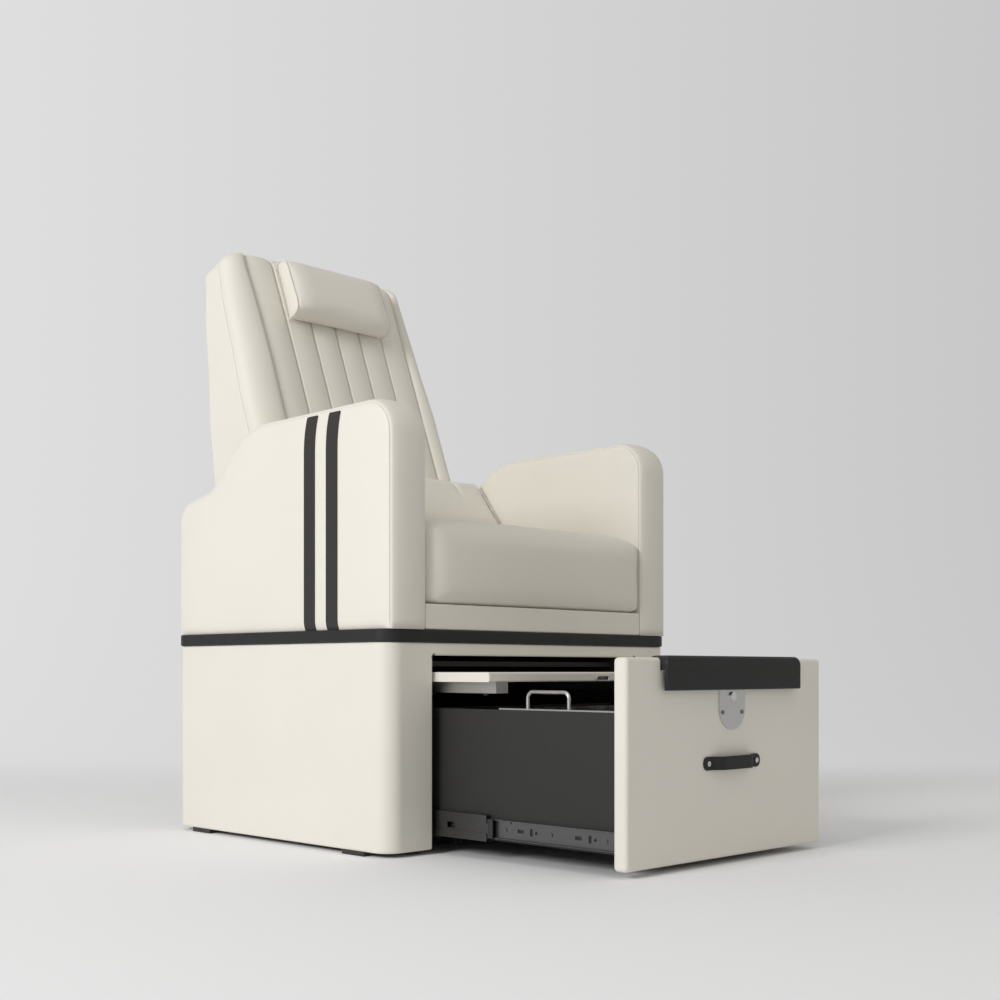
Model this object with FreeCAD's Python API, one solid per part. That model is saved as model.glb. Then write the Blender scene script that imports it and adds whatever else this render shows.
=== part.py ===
import FreeCAD, Part
import os
from math import cos, radians, sin, tan
from FreeCAD import Vector

# A pedicure bench: an armchair on a hollow base. A drawer with a foot basin rolls out of the base,
# its front carries a footrest that lifts, and a shelf slides out above it.
# Millimetres, +Z up, +X to the sitter's left, the sitter faces -Y. Y is counted from the front
# plane of the base until the last function moves the model to the middle of its own footprint.
# The drawer and the shelf are modelled pulled out.

# Overall sizes
body_width = 760
base_depth = 650
base_height = 358
floor_gap = 8
corner_radius = 35
belt_height = 22
belt_proud = 3
arm_side_inset = 2
arm_width = 88
arm_rise = 394
arm_proud = 5

# Clearances and wall sizes that many pieces share
soft_gap = 0.3
board = 18
overrun = 5
nearest_points = 0.001

# Base
post_depth = 28
post_face_width = 106
header_height = 22.5
opening_edge_radius = 4
rear_return = 50
carcass_board = 16
carcass_inset = 5.1
carcass_rear_gap = 44
carcass_floor_gap = 12
upper_rail_size = (32, 9)
upper_rail_setback = 60
upper_rail_drop = 9.5
lower_rail_size = (30, 9)
lower_rail_setback = 32
rear_rail_size = (20, 60)
glide_size = (14, 60)
glide_inset = 60
inner_foot_radius = 13
inner_foot_spread = 302

# Seat
apron_height = 45
apron_depth = 22
seat_rear_room = 225
seat_rail_width = 22
webbing_size = (50, 3)
webbing_bands = 5
webbing_cross_bands = 4
cushion_side_gap = 5
cushion_front_bulge = 6
cushion_edge_height = 141
cushion_crown = 12
# Rows from an end inwards: place in front bulges, then shares of the draw-in of the sides, the
# rise of the foot, the drop of the edge and the crown.
cushion_front_shares = (
    (-1, 0.7, 0.5, 1.6, 0.3),
    (0.35, 0.5, 0.12, 0.8, 0.55),
    (3, 0, 0, 0.3, 0.75),
    (8, 0, 0, 0, 1),
)
cushion_rear_shares = (
    (8, 0, 0, 0, 1),
    (1, 0.5, 0, 0.6, 0.7),
    (0, 1, 0.25, 1, 0.4),
)

# Arms
arm_edge_radius = 16
arm_front_radius = 65
arm_slope_rear = 238
arm_slope_radius = 120
shoulder_rear = 109
shoulder_rise = 285
shoulder_end_rise = 262
shoulder_radius = 52
shoulder_rear_radius = 45
facing_depth = 8
arm_wall = 15
arm_front_block = 45
arm_frame_bar = 40
stripe_width = 32
stripe_thickness = 1.2
stripe_starts = (132, 196)
stripe_top_gap = 12
rear_panel_rise = 128

# Backrest, in the plane where its shell meets its front pad
back_lean = 20.5
back_seam_room = 73
back_seam_z = 804
back_below_seam = 292
back_above_seam = 414
back_side_gap = 40
back_side_taper = 2.3
back_corner_radius = 48
# Past the rear of the base, and up from the floor.
back_rear_reach_lower = (53, 703)
back_rear_reach_upper = (107, 1160)
back_rear_reach_foot = (5, 548)
back_rear_radius = 32
back_roll_angles = (22, 42, 60, 76)
back_foot_radius = 60
back_edge_radius = 22
back_wall = 15
channel_count = 6
bolster_width = 54
# The photo shows the sewn channels and the head cushion a little nearer the sitter's left.
channel_shift = 12
pad_groove_depth = 33
pad_crest_depth = 43
bolster_side_depth = 20
bolster_crest_depth = 45
bolster_round = 20
back_bar = (26, 18)
back_bar_inset = 80
head_cushion_width = 258
head_cushion_shift = 9
head_cushion_low = 257
head_cushion_height = 134
head_cushion_depth = 50
head_cushion_top_radius = 32
head_cushion_low_radius = 20
head_cushion_shrink = 6
lumbar_side_gap = 10
lumbar_foot_gap = 3
lumbar_front_room = 267
lumbar_knee_rise = 52
lumbar_top_room = 188
lumbar_top_height = 747
lumbar_seam_inset = 80
lumbar_seam_width = 7
lumbar_seam_depth = 5
lumbar_swell = 4

# Recline hinge
hinge_room = 90
hinge_rise = 82
hinge_inset = 67
hinge_plate = 6
hinge_plate_width = 50
hinge_foot_width = 40
hinge_pin_radius = 6
hinge_pin_clearance = 0.05
hinge_pin_head = (10, 5)

# Drawer
drawer_travel = 428.5
drawer_front_thickness = 26.7
drawer_front_side_gap = 3
drawer_front_height = 326.6
drawer_front_floor_gap = 11
drawer_edge_radius = 7
slide_space = 12.9
drawer_board = 12
drawer_length = 451
drawer_side_low = 34
drawer_side_top = 252
drawer_bottom_thickness = 6

# Foot basin
basin_sheet = 1.5
basin_side_inset = 4
basin_front_gap = 6
basin_length = 260
basin_rim_height = 2.5
basin_plan_radius = 4
basin_bowl_margins = (47, 20)
basin_depth = 186
basin_corner_radius = 45
basin_foot_radius = 18
basin_handle_wire = 6
basin_handle_span = 92
basin_handle_rise = 29.7
basin_handle_bend = 11
basin_handle_inset = 35
basin_handle_y = -218

# Footrest and its lock
rest_width = 374
rest_depth = 40.5
rest_thickness = 24
rest_lip_height = 55
rest_lip_thickness = 8
rest_radius = 7
rest_corner_radius = 12
rest_recess_depth = 21
rest_recess_gap = 1.5
rest_flange = (120, 22, 3)
rest_lift = 100
post_width = 40
post_thickness = 6
post_set_in = 8.2
post_length = 157
guide_wall = 1.5
guide_length = 159
plate_width = 72
plate_height = 80
plate_thickness = 2
plate_foot_height = 220
button_height = 275
button_hole_radius = 7.5
button_radius = 7.2
button_proud = 3
button_length = 7
button_stem_radius = 2.6
clamp_radius = 6.5
clamp_thickness = 2.4
spring_wire_radius = 0.6
spring_radius = 5
spring_turns = 3
plate_screw_spread = 54
plate_screw_height = 249
screw_head = (3.5, 1.2)
screw_shank = (1.7, 10)

# Strap handle
strap_length = 156
strap_height = 22
strap_thickness = 3
strap_bow = 15
strap_flat = 21
strap_rise_length = 19
strap_bend_radius = 12
strap_height_centre = 167
stud_spread = 134
stud_head = (4.4, 1.6)
stud_shank = (2.5, 12)

# Drawer slides: a fixed, a middle and an inner member, one inside the other
slide_sheet = 1.5
slide_length = 450
slide_setback = 30
slide_height_centre = 54
slide_fixed_height = 48
slide_middle_height = 44
slide_inner_height = 32
slide_middle_out = 124
slide_middle_band = (16.5, 1)
slide_middle_hole = (20, 10)
slide_middle_hole_start = 28
slide_middle_tongue = 4.5
slide_side_gap = 0.5
slide_fixed_depth = 11
slide_middle_depth = 8
slide_inner_depth = 6.5
slide_ball_radius = 2.1
slide_ball_pitch = 16
slide_ball_count = 6
slide_ball_start = 14
catch_length = 34
catch_reach = 13
slot_long = (13.5, 6)
slot_tall = (6, 12)
slot_hole_radius = 2.8
slide_end_hole = (173, 12, 1.8)
slot_starts = (188, 314)
slot_tall_step = 28
slot_hole_step = 42
slide_screw_starts = (160, 262, 378)

# Sliding shelf
shelf_out = 131
shelf_thickness = 16.4
shelf_bottom = 298
shelf_side_gap = 0.9
shelf_length = 380
shelf_edge_radius = 3
pull_size = (33, 3, 8)
pull_side = 20.5
pull_slot = (26, 3)
runner_inset = 17
runner_width = 28.5
runner_height = 19
runner_wall = 1.5
rail_width = 20
rail_height = 18
rail_start = 75
rail_length = 324
rail_arm_starts = (95, 250)
rail_arm = (24, 2, 18)
bumper_radius = 4.5
bumper_height = 4
bumper_setback = 30

# Widths, lengths and heights that follow from the sizes above
base_top = floor_gap + base_height
belt_top = base_top + belt_height
seat_height = belt_top + apron_height
arm_top = belt_top + arm_rise
opening_top = base_top - header_height
body_half = body_width / 2
arm_half = body_half - arm_side_inset
seat_half = arm_half - arm_width
opening_width = body_width - 2 * post_face_width
opening_half = opening_width / 2
carcass_inner_width = opening_width - 2 * carcass_inset
carcass_length = base_depth - board - carcass_rear_gap - post_depth
drawer_front_width = opening_width - 2 * drawer_front_side_gap
drawer_outer_width = carcass_inner_width - 2 * slide_space
basin_width = drawer_outer_width - 2 * basin_side_inset
basin_handle_x = basin_width / 2 - basin_handle_inset
shelf_width = carcass_inner_width - 2 * shelf_side_gap
back_half_width = seat_half - back_side_gap
channel_width = 2 * (back_half_width - bolster_width) / channel_count
back_bar_spread = back_half_width - back_bar_inset
hinge_spread = back_half_width - hinge_inset
lumbar_width = 2 * (seat_half - lumbar_side_gap)
lumbar_seam_spread = lumbar_width / 2 - lumbar_seam_inset
front_face = -drawer_travel
front_back = front_face + drawer_front_thickness
front_top = drawer_front_floor_gap + drawer_front_height
recess_floor = front_top - rest_recess_depth
hinge_z = belt_top + hinge_rise
hinge_y = base_depth - hinge_room
seat_length = base_depth - seat_rear_room
arm_top_length = base_depth - arm_slope_rear
shoulder_start = base_depth - shoulder_rear
back_seam_y = base_depth - back_seam_room
back_rear_lower = (base_depth + back_rear_reach_lower[0], back_rear_reach_lower[1])
back_rear_upper = (base_depth + back_rear_reach_upper[0], back_rear_reach_upper[1])
back_rear_foot = (base_depth + back_rear_reach_foot[0], back_rear_reach_foot[1])
lumbar_front = base_depth - lumbar_front_room
lumbar_top = (base_depth - lumbar_top_room, lumbar_top_height)
shoulder_drop = lumbar_knee_rise / 4

nodes = {}


def block(xs, ys, zs):
    """A box between a low and a high value along each axis."""
    corner = Vector(xs[0], ys[0], zs[0])
    return Part.makeBox(xs[1] - xs[0], ys[1] - ys[0], zs[1] - zs[0], corner)


def span(start, length):
    """A low and a high value from a start and a length."""
    return (start, start + length)


def middle(width):
    """A low and a high value on both sides of zero."""
    return (-width / 2, width / 2)


def rod(radius, start, end):
    """A round bar between two points."""
    way = end - start
    return Part.makeCylinder(radius, way.Length, start, way)


def mirrored(shape):
    """The same piece on the other side of the middle plane."""
    return shape.mirror(Vector(0, 0, 0), Vector(1, 0, 0))


def together(shapes):
    """Several loose solids as one piece group."""
    return Part.makeCompound(shapes)


def wire_through(corners, place):
    """A closed wire through corners (a, b, radius), where place puts (a, b) in space."""
    edges = []
    last = None
    first = None
    for index, (a, b, radius) in enumerate(corners):
        corner = Vector(a, b, 0)
        before = Vector(*corners[index - 1][:2], 0)
        after = Vector(*corners[(index + 1) % len(corners)][:2], 0)
        enter = corner
        leave = corner
        if radius > 0:
            back_way = (before - corner).normalize()
            next_way = (after - corner).normalize()
            half_turn = back_way.getAngle(next_way) / 2
            enter = corner + back_way * (radius / tan(half_turn))
            leave = corner + next_way * (radius / tan(half_turn))
            centre = corner + (back_way + next_way).normalize() * (radius / sin(half_turn))
            top = centre + (corner - centre).normalize() * radius
        if last is None:
            first = enter
        elif last.distanceToPoint(enter) > nearest_points:
            edges.append(Part.LineSegment(place(last), place(enter)).toShape())
        if radius > 0:
            edges.append(Part.Arc(place(enter), place(top), place(leave)).toShape())
        last = leave
    if last.distanceToPoint(first) > nearest_points:
        edges.append(Part.LineSegment(place(last), place(first)).toShape())
    return Part.Wire(edges)


def on_side(x):
    """Puts (y, z) on a plane across X."""
    return lambda flat: Vector(x, flat.x, flat.y)


def on_front(y):
    """Puts (x, z) on a plane across Y."""
    return lambda flat: Vector(flat.x, y, flat.y)


def on_plan(z):
    """Puts (x, y) on a level plane."""
    return lambda flat: Vector(flat.x, flat.y, z)


def prism(corners, place, way):
    """A straight solid whose section is an outline with rounded corners."""
    return Part.Face(wire_through(corners, place)).extrude(way)


def make_base():
    """Wrapped side shells with the front posts, the header, the rear panel and the belt board."""
    inner_half = body_half - board
    return_half = body_half - rear_return
    side = [
        (-opening_half, 0, opening_edge_radius),
        (-body_half, 0, corner_radius),
        (-body_half, base_depth, corner_radius),
        (-return_half, base_depth, 0),
        (-return_half, base_depth - board, 0),
        (-inner_half, base_depth - board, corner_radius - board),
        (-inner_half, post_depth, 0),
        (-opening_half, post_depth, 0),
    ]
    shell = prism(side, on_plan(floor_gap), Vector(0, 0, base_height))
    nodes["base_side_left"] = shell
    nodes["base_side_right"] = mirrored(shell)
    header_zs = (opening_top, base_top)
    nodes["base_front_header"] = block(middle(opening_width), (0, post_depth), header_zs)
    rear_ys = (base_depth - board, base_depth)
    nodes["base_rear_panel"] = block((-return_half, return_half), rear_ys, (floor_gap, base_top))
    belt_half = body_half + belt_proud
    belt_radius = corner_radius + belt_proud
    belt = [
        (-belt_half, -belt_proud, belt_radius),
        (belt_half, -belt_proud, belt_radius),
        (belt_half, base_depth + belt_proud, belt_radius),
        (-belt_half, base_depth + belt_proud, belt_radius),
    ]
    nodes["belt_board"] = prism(belt, on_plan(base_top), Vector(0, 0, belt_height))


def make_carcass():
    """Dark inner boards that carry the slides, tied by rails, with the feet and side glides."""
    inner = carcass_inner_width / 2
    low = floor_gap + carcass_floor_gap
    side_ys = span(post_depth, carcass_length)
    side = block((-inner - carcass_board, -inner), side_ys, (low, base_top))
    nodes["carcass_side_left"] = side
    nodes["carcass_side_right"] = mirrored(side)
    upper_depth, upper_height = upper_rail_size
    upper_top = opening_top - upper_rail_drop
    upper_zs = (upper_top - upper_height, upper_top)
    lower_depth, lower_height = lower_rail_size
    rear_depth, rear_height = rear_rail_size
    rear_start = post_depth + carcass_length - rear_depth
    xs = (-inner, inner)
    rails = [
        block(xs, span(upper_rail_setback, upper_depth), upper_zs),
        block(xs, span(post_depth + lower_rail_setback, lower_depth), span(low, lower_height)),
        block(xs, span(rear_start, rear_depth), (base_top - rear_height, base_top)),
    ]
    nodes["carcass_rails"] = together(rails)
    glide_width, glide_length = glide_size
    glide_x = body_half - board / 2
    foot_y = post_depth + lower_rail_setback + lower_depth / 2
    feet = []
    for side_sign in (-1, 1):
        x = side_sign * glide_x
        xs = (x - glide_width / 2, x + glide_width / 2)
        for start in (glide_inset, base_depth - glide_inset - glide_length):
            feet.append(block(xs, span(start, glide_length), (0, floor_gap)))
        foot = Vector(side_sign * inner_foot_spread / 2, foot_y, 0)
        feet.append(rod(inner_foot_radius, foot, foot + Vector(0, 0, low)))
    nodes["base_glides"] = together(feet)


def cushion_section(y, side_in, low, edge_top, crown):
    """One upright section of the seat cushion: flat below, drawn-in sides and a crowned top."""
    half = seat_half - cushion_side_gap - side_in
    waist = half - cushion_side_gap
    height = edge_top - low
    round_off = height / 4
    points = [
        Vector(-waist, y, low),
        Vector(waist, y, low),
        Vector(half, y, low + height / 2),
        Vector(half - round_off / 4, y, edge_top - round_off / 2),
        Vector(half - round_off, y, edge_top),
        Vector(0, y, edge_top + crown),
    ]
    side_mid = Vector(half - cushion_side_gap / 3, y, low + height / 5)
    upper_mid = Vector(half, y, edge_top - round_off)
    shoulder_mid = Vector(half - round_off / 2, y, edge_top - round_off / 6)

    def flip(p):
        return Vector(-p.x, p.y, p.z)

    a, b, c, d, e, top = points
    edges = [
        Part.LineSegment(a, b),
        Part.Arc(b, side_mid, c),
        Part.Arc(c, upper_mid, d),
        Part.Arc(d, shoulder_mid, e),
        Part.Arc(e, top, flip(e)),
        Part.Arc(flip(e), flip(shoulder_mid), flip(d)),
        Part.Arc(flip(d), flip(upper_mid), flip(c)),
        Part.Arc(flip(c), flip(side_mid), a),
    ]
    return Part.Wire([edge.toShape() for edge in edges])


def make_seat():
    """Rails on the belt board, webbing over them, the covered apron and the loose cushion."""
    rail_top = seat_height - webbing_size[1]
    zs = (belt_top, rail_top)
    rail_end = seat_length + seat_rail_width / 2
    side_ys = (apron_depth, rail_end)
    rear_ys = (rail_end - seat_rail_width, rail_end)
    rear_half = seat_half - seat_rail_width
    side_rail = block((-seat_half, -rear_half), side_ys, zs)
    rear_rail = block((-rear_half, rear_half), rear_ys, zs)
    nodes["seat_rails"] = together([side_rail, mirrored(side_rail), rear_rail])
    apron_zs = (belt_top, seat_height)
    nodes["seat_front_rail"] = block((-seat_half, seat_half), (0, apron_depth), apron_zs)
    band_width, band_thickness = webbing_size
    bands = []
    pitch = 2 * rear_half / webbing_bands
    for index in range(webbing_bands):
        x = -rear_half + pitch * (index + 0.5)
        xs = (x - band_width / 2, x + band_width / 2)
        bands.append(block(xs, side_ys, (rail_top, seat_height)))
    cross_zs = (rail_top - band_thickness, rail_top)
    cross_pitch = (rear_ys[0] - apron_depth) / webbing_cross_bands
    for index in range(webbing_cross_bands):
        y = apron_depth + cross_pitch * (index + 0.5)
        ys = (y - band_width / 2, y + band_width / 2)
        bands.append(block((-rear_half, rear_half), ys, cross_zs))
    nodes["seat_webbing"] = together(bands)
    low = seat_height
    top = seat_height + cushion_edge_height
    bulge = cushion_front_bulge
    round_in = cushion_edge_height / 7
    end_in = cushion_side_gap * 3
    places = [bulge * row[0] for row in cushion_front_shares]
    places += [seat_length - bulge * row[0] for row in cushion_rear_shares]
    sections = []
    for y, row in zip(places, cushion_front_shares + cushion_rear_shares):
        side_in_share, foot_share, drop_share, crown_share = row[1:]
        foot = low + round_in * foot_share
        edge_top = top - round_in * drop_share
        crown = cushion_crown * crown_share
        sections.append(cushion_section(y, end_in * side_in_share, foot, edge_top, crown))
    nodes["seat_cushion"] = Part.makeLoft(sections, True, True)


def arm_outline(inset):
    """The side outline of an arm, or one inside it, from its front foot to its rear foot."""
    top = arm_top - inset
    front = inset - arm_proud
    rear = base_depth + arm_proud - inset
    shoulder = belt_top + shoulder_rise - inset
    shoulder_end = belt_top + shoulder_end_rise - inset
    return [
        (front, belt_top, 0),
        (front, top, arm_front_radius - inset),
        (arm_top_length, top, arm_slope_radius),
        (shoulder_start, shoulder, shoulder_radius),
        (rear, shoulder_end, shoulder_rear_radius - inset),
        (rear, belt_top, 0),
    ]


def make_arms():
    """Hollow padded arms with a facing strip along the rim, a timber frame and two stripes."""
    arm = prism(arm_outline(0), on_side(-arm_half), Vector(arm_width, 0, 0))
    rims = []
    for edge in arm.Edges:
        box = edge.BoundBox
        if box.XLength < nearest_points and box.ZMax > belt_top + nearest_points:
            rims.append(edge)
    arm = arm.makeFillet(arm_edge_radius, rims)
    # The facing is the rim strip that runs up the front, over the top and down to the rear.
    start = -arm_half - overrun
    keeper = prism(arm_outline(facing_depth), on_side(start), Vector(arm_width + 2 * overrun, 0, 0))
    facing = arm.cut(keeper)
    body = arm.common(keeper)
    xs = (-arm_half + arm_wall, -seat_half - arm_wall)
    low_top = belt_top + shoulder_end_rise - shoulder_rear_radius
    high_end = arm_top_length - arm_slope_radius / 3
    high_top = arm_top - arm_wall
    rear_end = base_depth - arm_wall
    hollow = block(xs, (arm_front_block, high_end), (belt_top, high_top))
    hollow = hollow.fuse(block(xs, (arm_front_block, rear_end), (belt_top, low_top)))
    bar = arm_frame_bar
    window = block(xs, (arm_front_block + bar, high_end - bar), (belt_top + bar, high_top - bar))
    low_window = block(xs, (high_end, rear_end - bar), (belt_top + bar, low_top - bar))
    frame = hollow.cut(window).cut(low_window).removeSplitter()
    body = body.cut(hollow)
    nodes["arm_left"] = body
    nodes["arm_right"] = mirrored(body)
    nodes["arm_left_facing"] = facing
    nodes["arm_right_facing"] = mirrored(facing)
    nodes["arm_frames"] = together([frame, mirrored(frame)])
    outside = -arm_half - stripe_thickness
    over = arm_top + stripe_thickness
    inside = -seat_half - arm_edge_radius
    strip = [
        (outside, belt_top, 0),
        (outside, over, arm_edge_radius + stripe_thickness),
        (inside, over, 0),
        (inside, arm_top, 0),
        (-arm_half, arm_top, arm_edge_radius),
        (-arm_half, belt_top, 0),
    ]
    strip_zs = (belt_top, arm_top - stripe_top_gap)
    strips = []
    for start in stripe_starts:
        strip_space = block((outside, inside), span(start, stripe_width), strip_zs)
        band = prism(strip, on_front(start), Vector(0, stripe_width, 0))
        strips.append(band.common(strip_space))
    nodes["arm_left_stripes"] = together(strips)
    nodes["arm_right_stripes"] = together([mirrored(one) for one in strips])
    panel_zs = span(belt_top, rear_panel_rise)
    panel_ys = (base_depth - board, base_depth)
    nodes["body_rear_panel"] = block((-seat_half, seat_half), panel_ys, panel_zs)


def leaned(shape):
    """Moves a piece from the back's own upright frame to its lean and place."""
    turned = shape.copy()
    turned.rotate(Vector(0, 0, 0), Vector(1, 0, 0), -back_lean)
    turned.translate(Vector(0, back_seam_y, back_seam_z))
    return turned


def back_point(up, out):
    """The (y, z) of a place up the back's seam plane and out in front of it."""
    lean = radians(back_lean)
    y = back_seam_y + up * sin(lean) - out * cos(lean)
    z = back_seam_z + up * cos(lean) + out * sin(lean)
    return (y, z)


def back_half_at(up):
    """Half the back's width at a distance up its seam plane."""
    return back_half_width - up * tan(radians(back_side_taper))


def pad_section(up, corner_in, depth_share):
    """One section of the channelled front pad, across the back's own frame."""
    full = back_half_at(up)
    half = full - corner_in
    squeeze_share = half / full
    reach = channel_count * channel_width / 2
    right_edge = (channel_shift + reach) * squeeze_share
    left_edge = (channel_shift - reach) * squeeze_share
    step = (right_edge - left_edge) / channel_count

    def at(x, out):
        return Vector(x, -out * depth_share, up)

    crest_x = half - bolster_round
    shoulder_x = half - bolster_round / 4
    shoulder_out = bolster_crest_depth - bolster_round / 4
    inner_out = (bolster_crest_depth + pad_groove_depth) / 2 + bolster_round / 8
    right = [
        Part.LineSegment(at(half, 0), at(half, bolster_side_depth)),
        Part.Arc(at(half, bolster_side_depth), at(shoulder_x, shoulder_out),
                 at(crest_x, bolster_crest_depth)),
        Part.Arc(at(crest_x, bolster_crest_depth), at((crest_x + right_edge) / 2, inner_out),
                 at(right_edge, pad_groove_depth)),
    ]
    edges = [one.toShape() for one in right]
    for index in range(channel_count):
        x = right_edge - step * index
        crest = at(x - step / 2, pad_crest_depth)
        roll = Part.Arc(at(x, pad_groove_depth), crest, at(x - step, pad_groove_depth))
        edges.append(roll.toShape())
    left = [
        Part.Arc(at(left_edge, pad_groove_depth), at((left_edge - crest_x) / 2, inner_out),
                 at(-crest_x, bolster_crest_depth)),
        Part.Arc(at(-crest_x, bolster_crest_depth), at(-shoulder_x, shoulder_out),
                 at(-half, bolster_side_depth)),
        Part.LineSegment(at(-half, bolster_side_depth), at(-half, 0)),
        Part.LineSegment(at(-half, 0), at(half, 0)),
    ]
    edges.extend(one.toShape() for one in left)
    return Part.Wire(edges)


def make_back_pad():
    """The front pad: a bolster on each side and upright channels, rolled over at the top."""
    start = back_above_seam - back_corner_radius
    sections = [pad_section(-back_below_seam, 0, 1), pad_section(start, 0, 1)]
    for angle in back_roll_angles:
        turn = radians(angle)
        up = start + back_corner_radius * sin(turn)
        corner_in = back_corner_radius * (1 - cos(turn))
        sections.append(pad_section(up, corner_in, cos(turn)))
    nodes["back_pad"] = leaned(Part.makeLoft(sections, True, True))


def back_side_outline():
    """The side outline of the back's shell, seam plane in front."""
    front_low = back_point(-back_below_seam, 0)
    front_top = back_point(back_above_seam - back_corner_radius / 4, 0)
    rear_y, rear_z = back_rear_upper
    slope = (rear_y - back_rear_lower[0]) / (rear_z - back_rear_lower[1])
    top_rear_y = rear_y + (front_top[1] - rear_z) * slope
    return [
        (front_low[0], front_low[1], 0),
        (front_top[0], front_top[1], 0),
        (top_rear_y, front_top[1], back_rear_radius),
        (back_rear_lower[0], back_rear_lower[1], back_foot_radius),
        (back_rear_foot[0], back_rear_foot[1], back_edge_radius),
    ]


def make_back_shell():
    """The hard shell behind the pad, with the steel frame in it."""
    side = back_side_outline()
    widest = back_half_at(-back_below_seam)
    solid = prism(side, on_side(-widest), Vector(2 * widest, 0, 0))
    seat_end = back_half_at(-back_below_seam - overrun)
    top = back_above_seam - back_corner_radius / 8
    top_half = back_half_at(top)
    corner = back_corner_radius
    front_view = [
        (-seat_end, -back_below_seam - overrun, 0),
        (-top_half, top, corner),
        (top_half, top, corner),
        (seat_end, -back_below_seam - overrun, 0),
    ]
    depth = base_depth
    # The trim runs square to the seam plane, so the taper and the round corners carry through.
    trim = prism(front_view, on_front(-depth), Vector(0, 2 * depth, 0))
    trim_low = block((-widest, widest), (-depth, depth), (-depth, -back_below_seam))
    solid = solid.common(leaned(trim.fuse(trim_low)))
    inner_xs = middle(2 * (back_half_at(back_above_seam) - 2 * back_wall))
    low_y, low_z = back_point(-back_below_seam + 2 * back_wall, -back_wall)
    high_y, high_z = back_point(back_above_seam - back_corner_radius, -back_wall)
    rear_gap = back_wall
    pocket = [
        (low_y, low_z, 0),
        (high_y, high_z, 0),
        (back_rear_upper[0] - rear_gap, high_z, 0),
        (back_rear_lower[0] - rear_gap, back_rear_lower[1], 0),
        (back_rear_foot[0] - rear_gap, low_z, 0),
    ]
    width = inner_xs[1] - inner_xs[0]
    hollow = prism(pocket, on_side(inner_xs[0]), Vector(width, 0, 0))
    nodes["back_shell"] = solid.cut(hollow)
    bar_width, bar_depth = back_bar
    low = -back_below_seam + 2 * back_wall
    high = back_above_seam - back_corner_radius - 2 * back_wall
    bar_ys = (back_wall, back_wall + bar_depth)
    bars = []
    for side_sign in (-1, 1):
        x = side_sign * back_bar_spread
        bars.append(block((x - bar_width / 2, x + bar_width / 2), bar_ys, (low + back_wall, high)))
    inner = back_bar_spread - bar_width / 2
    for up in (low + back_wall, (low + high) / 2, high - bar_width):
        bars.append(block((-inner, inner), bar_ys, span(up, bar_width)))
    frame = bars[0].multiFuse(bars[1:]).removeSplitter()
    nodes["back_frame"] = leaned(frame)


def head_section(x, shrink):
    """One section of the head cushion: flat behind, full in front."""
    out = pad_crest_depth + soft_gap
    low = head_cushion_low + shrink
    high = head_cushion_low + head_cushion_height - shrink
    front = out + head_cushion_depth - shrink
    corners = [
        (-out, low, 0),
        (-front, low + head_cushion_low_radius / 2, head_cushion_low_radius),
        (-front + head_cushion_low_radius / 2, high, head_cushion_top_radius),
        (-out, high, 0),
    ]
    return wire_through(corners, on_side(x))


def make_head_cushion():
    """A full cushion held on the upper back, drawn in at its two end faces."""
    half = head_cushion_width / 2
    ease = head_cushion_low_radius
    middle_x = head_cushion_shift
    stations = [
        (-half, head_cushion_shrink),
        (-half + ease / 4, head_cushion_shrink / 3),
        (-half + ease, 0),
        (half - ease, 0),
        (half - ease / 4, head_cushion_shrink / 3),
        (half, head_cushion_shrink),
    ]
    sections = [head_section(middle_x + x, shrink) for x, shrink in stations]
    nodes["head_cushion"] = leaned(Part.makeLoft(sections, True, True))


def lumbar_section(x, swell):
    """One section of the lumbar cushion: it stands on the seat and leans on the back pad."""
    low = seat_height + cushion_edge_height + cushion_crown + lumbar_foot_gap
    lean = radians(back_lean)
    out = bolster_crest_depth + soft_gap
    foot_up = (low - back_seam_z - out * sin(lean)) / cos(lean)
    foot = back_point(foot_up, out)
    top_y, top_z = lumbar_top
    head_up = (top_z - shoulder_drop - back_seam_z - out * sin(lean)) / cos(lean)
    head = back_point(head_up, out)
    corners = [
        (foot[0], low, 0),
        (lumbar_front - swell, low, lumbar_knee_rise / 3),
        (lumbar_front - swell, low + lumbar_knee_rise, lumbar_knee_rise / 2),
        (top_y - swell / 2, top_z + swell, lumbar_knee_rise / 2),
        (head[0], head[1] + swell, 0),
    ]
    return wire_through(corners, on_side(x))


def make_lumbar():
    """A long cushion across the seat with a sewn tuck near each end."""
    half = lumbar_width / 2
    tuck = lumbar_seam_spread
    wide = lumbar_seam_width
    stations = [
        (half, -lumbar_seam_depth),
        (half - wide, 0),
        (tuck + 3 * wide, lumbar_swell / 2),
        (tuck + wide, 0),
        (tuck, -lumbar_seam_depth),
        (tuck - wide, 0),
        (tuck - 4 * wide, lumbar_swell),
    ]
    sections = [lumbar_section(-x, swell) for x, swell in stations]
    sections += [lumbar_section(x, swell) for x, swell in reversed(stations)]
    nodes["lumbar_cushion"] = Part.makeLoft(sections, True, True)


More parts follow.
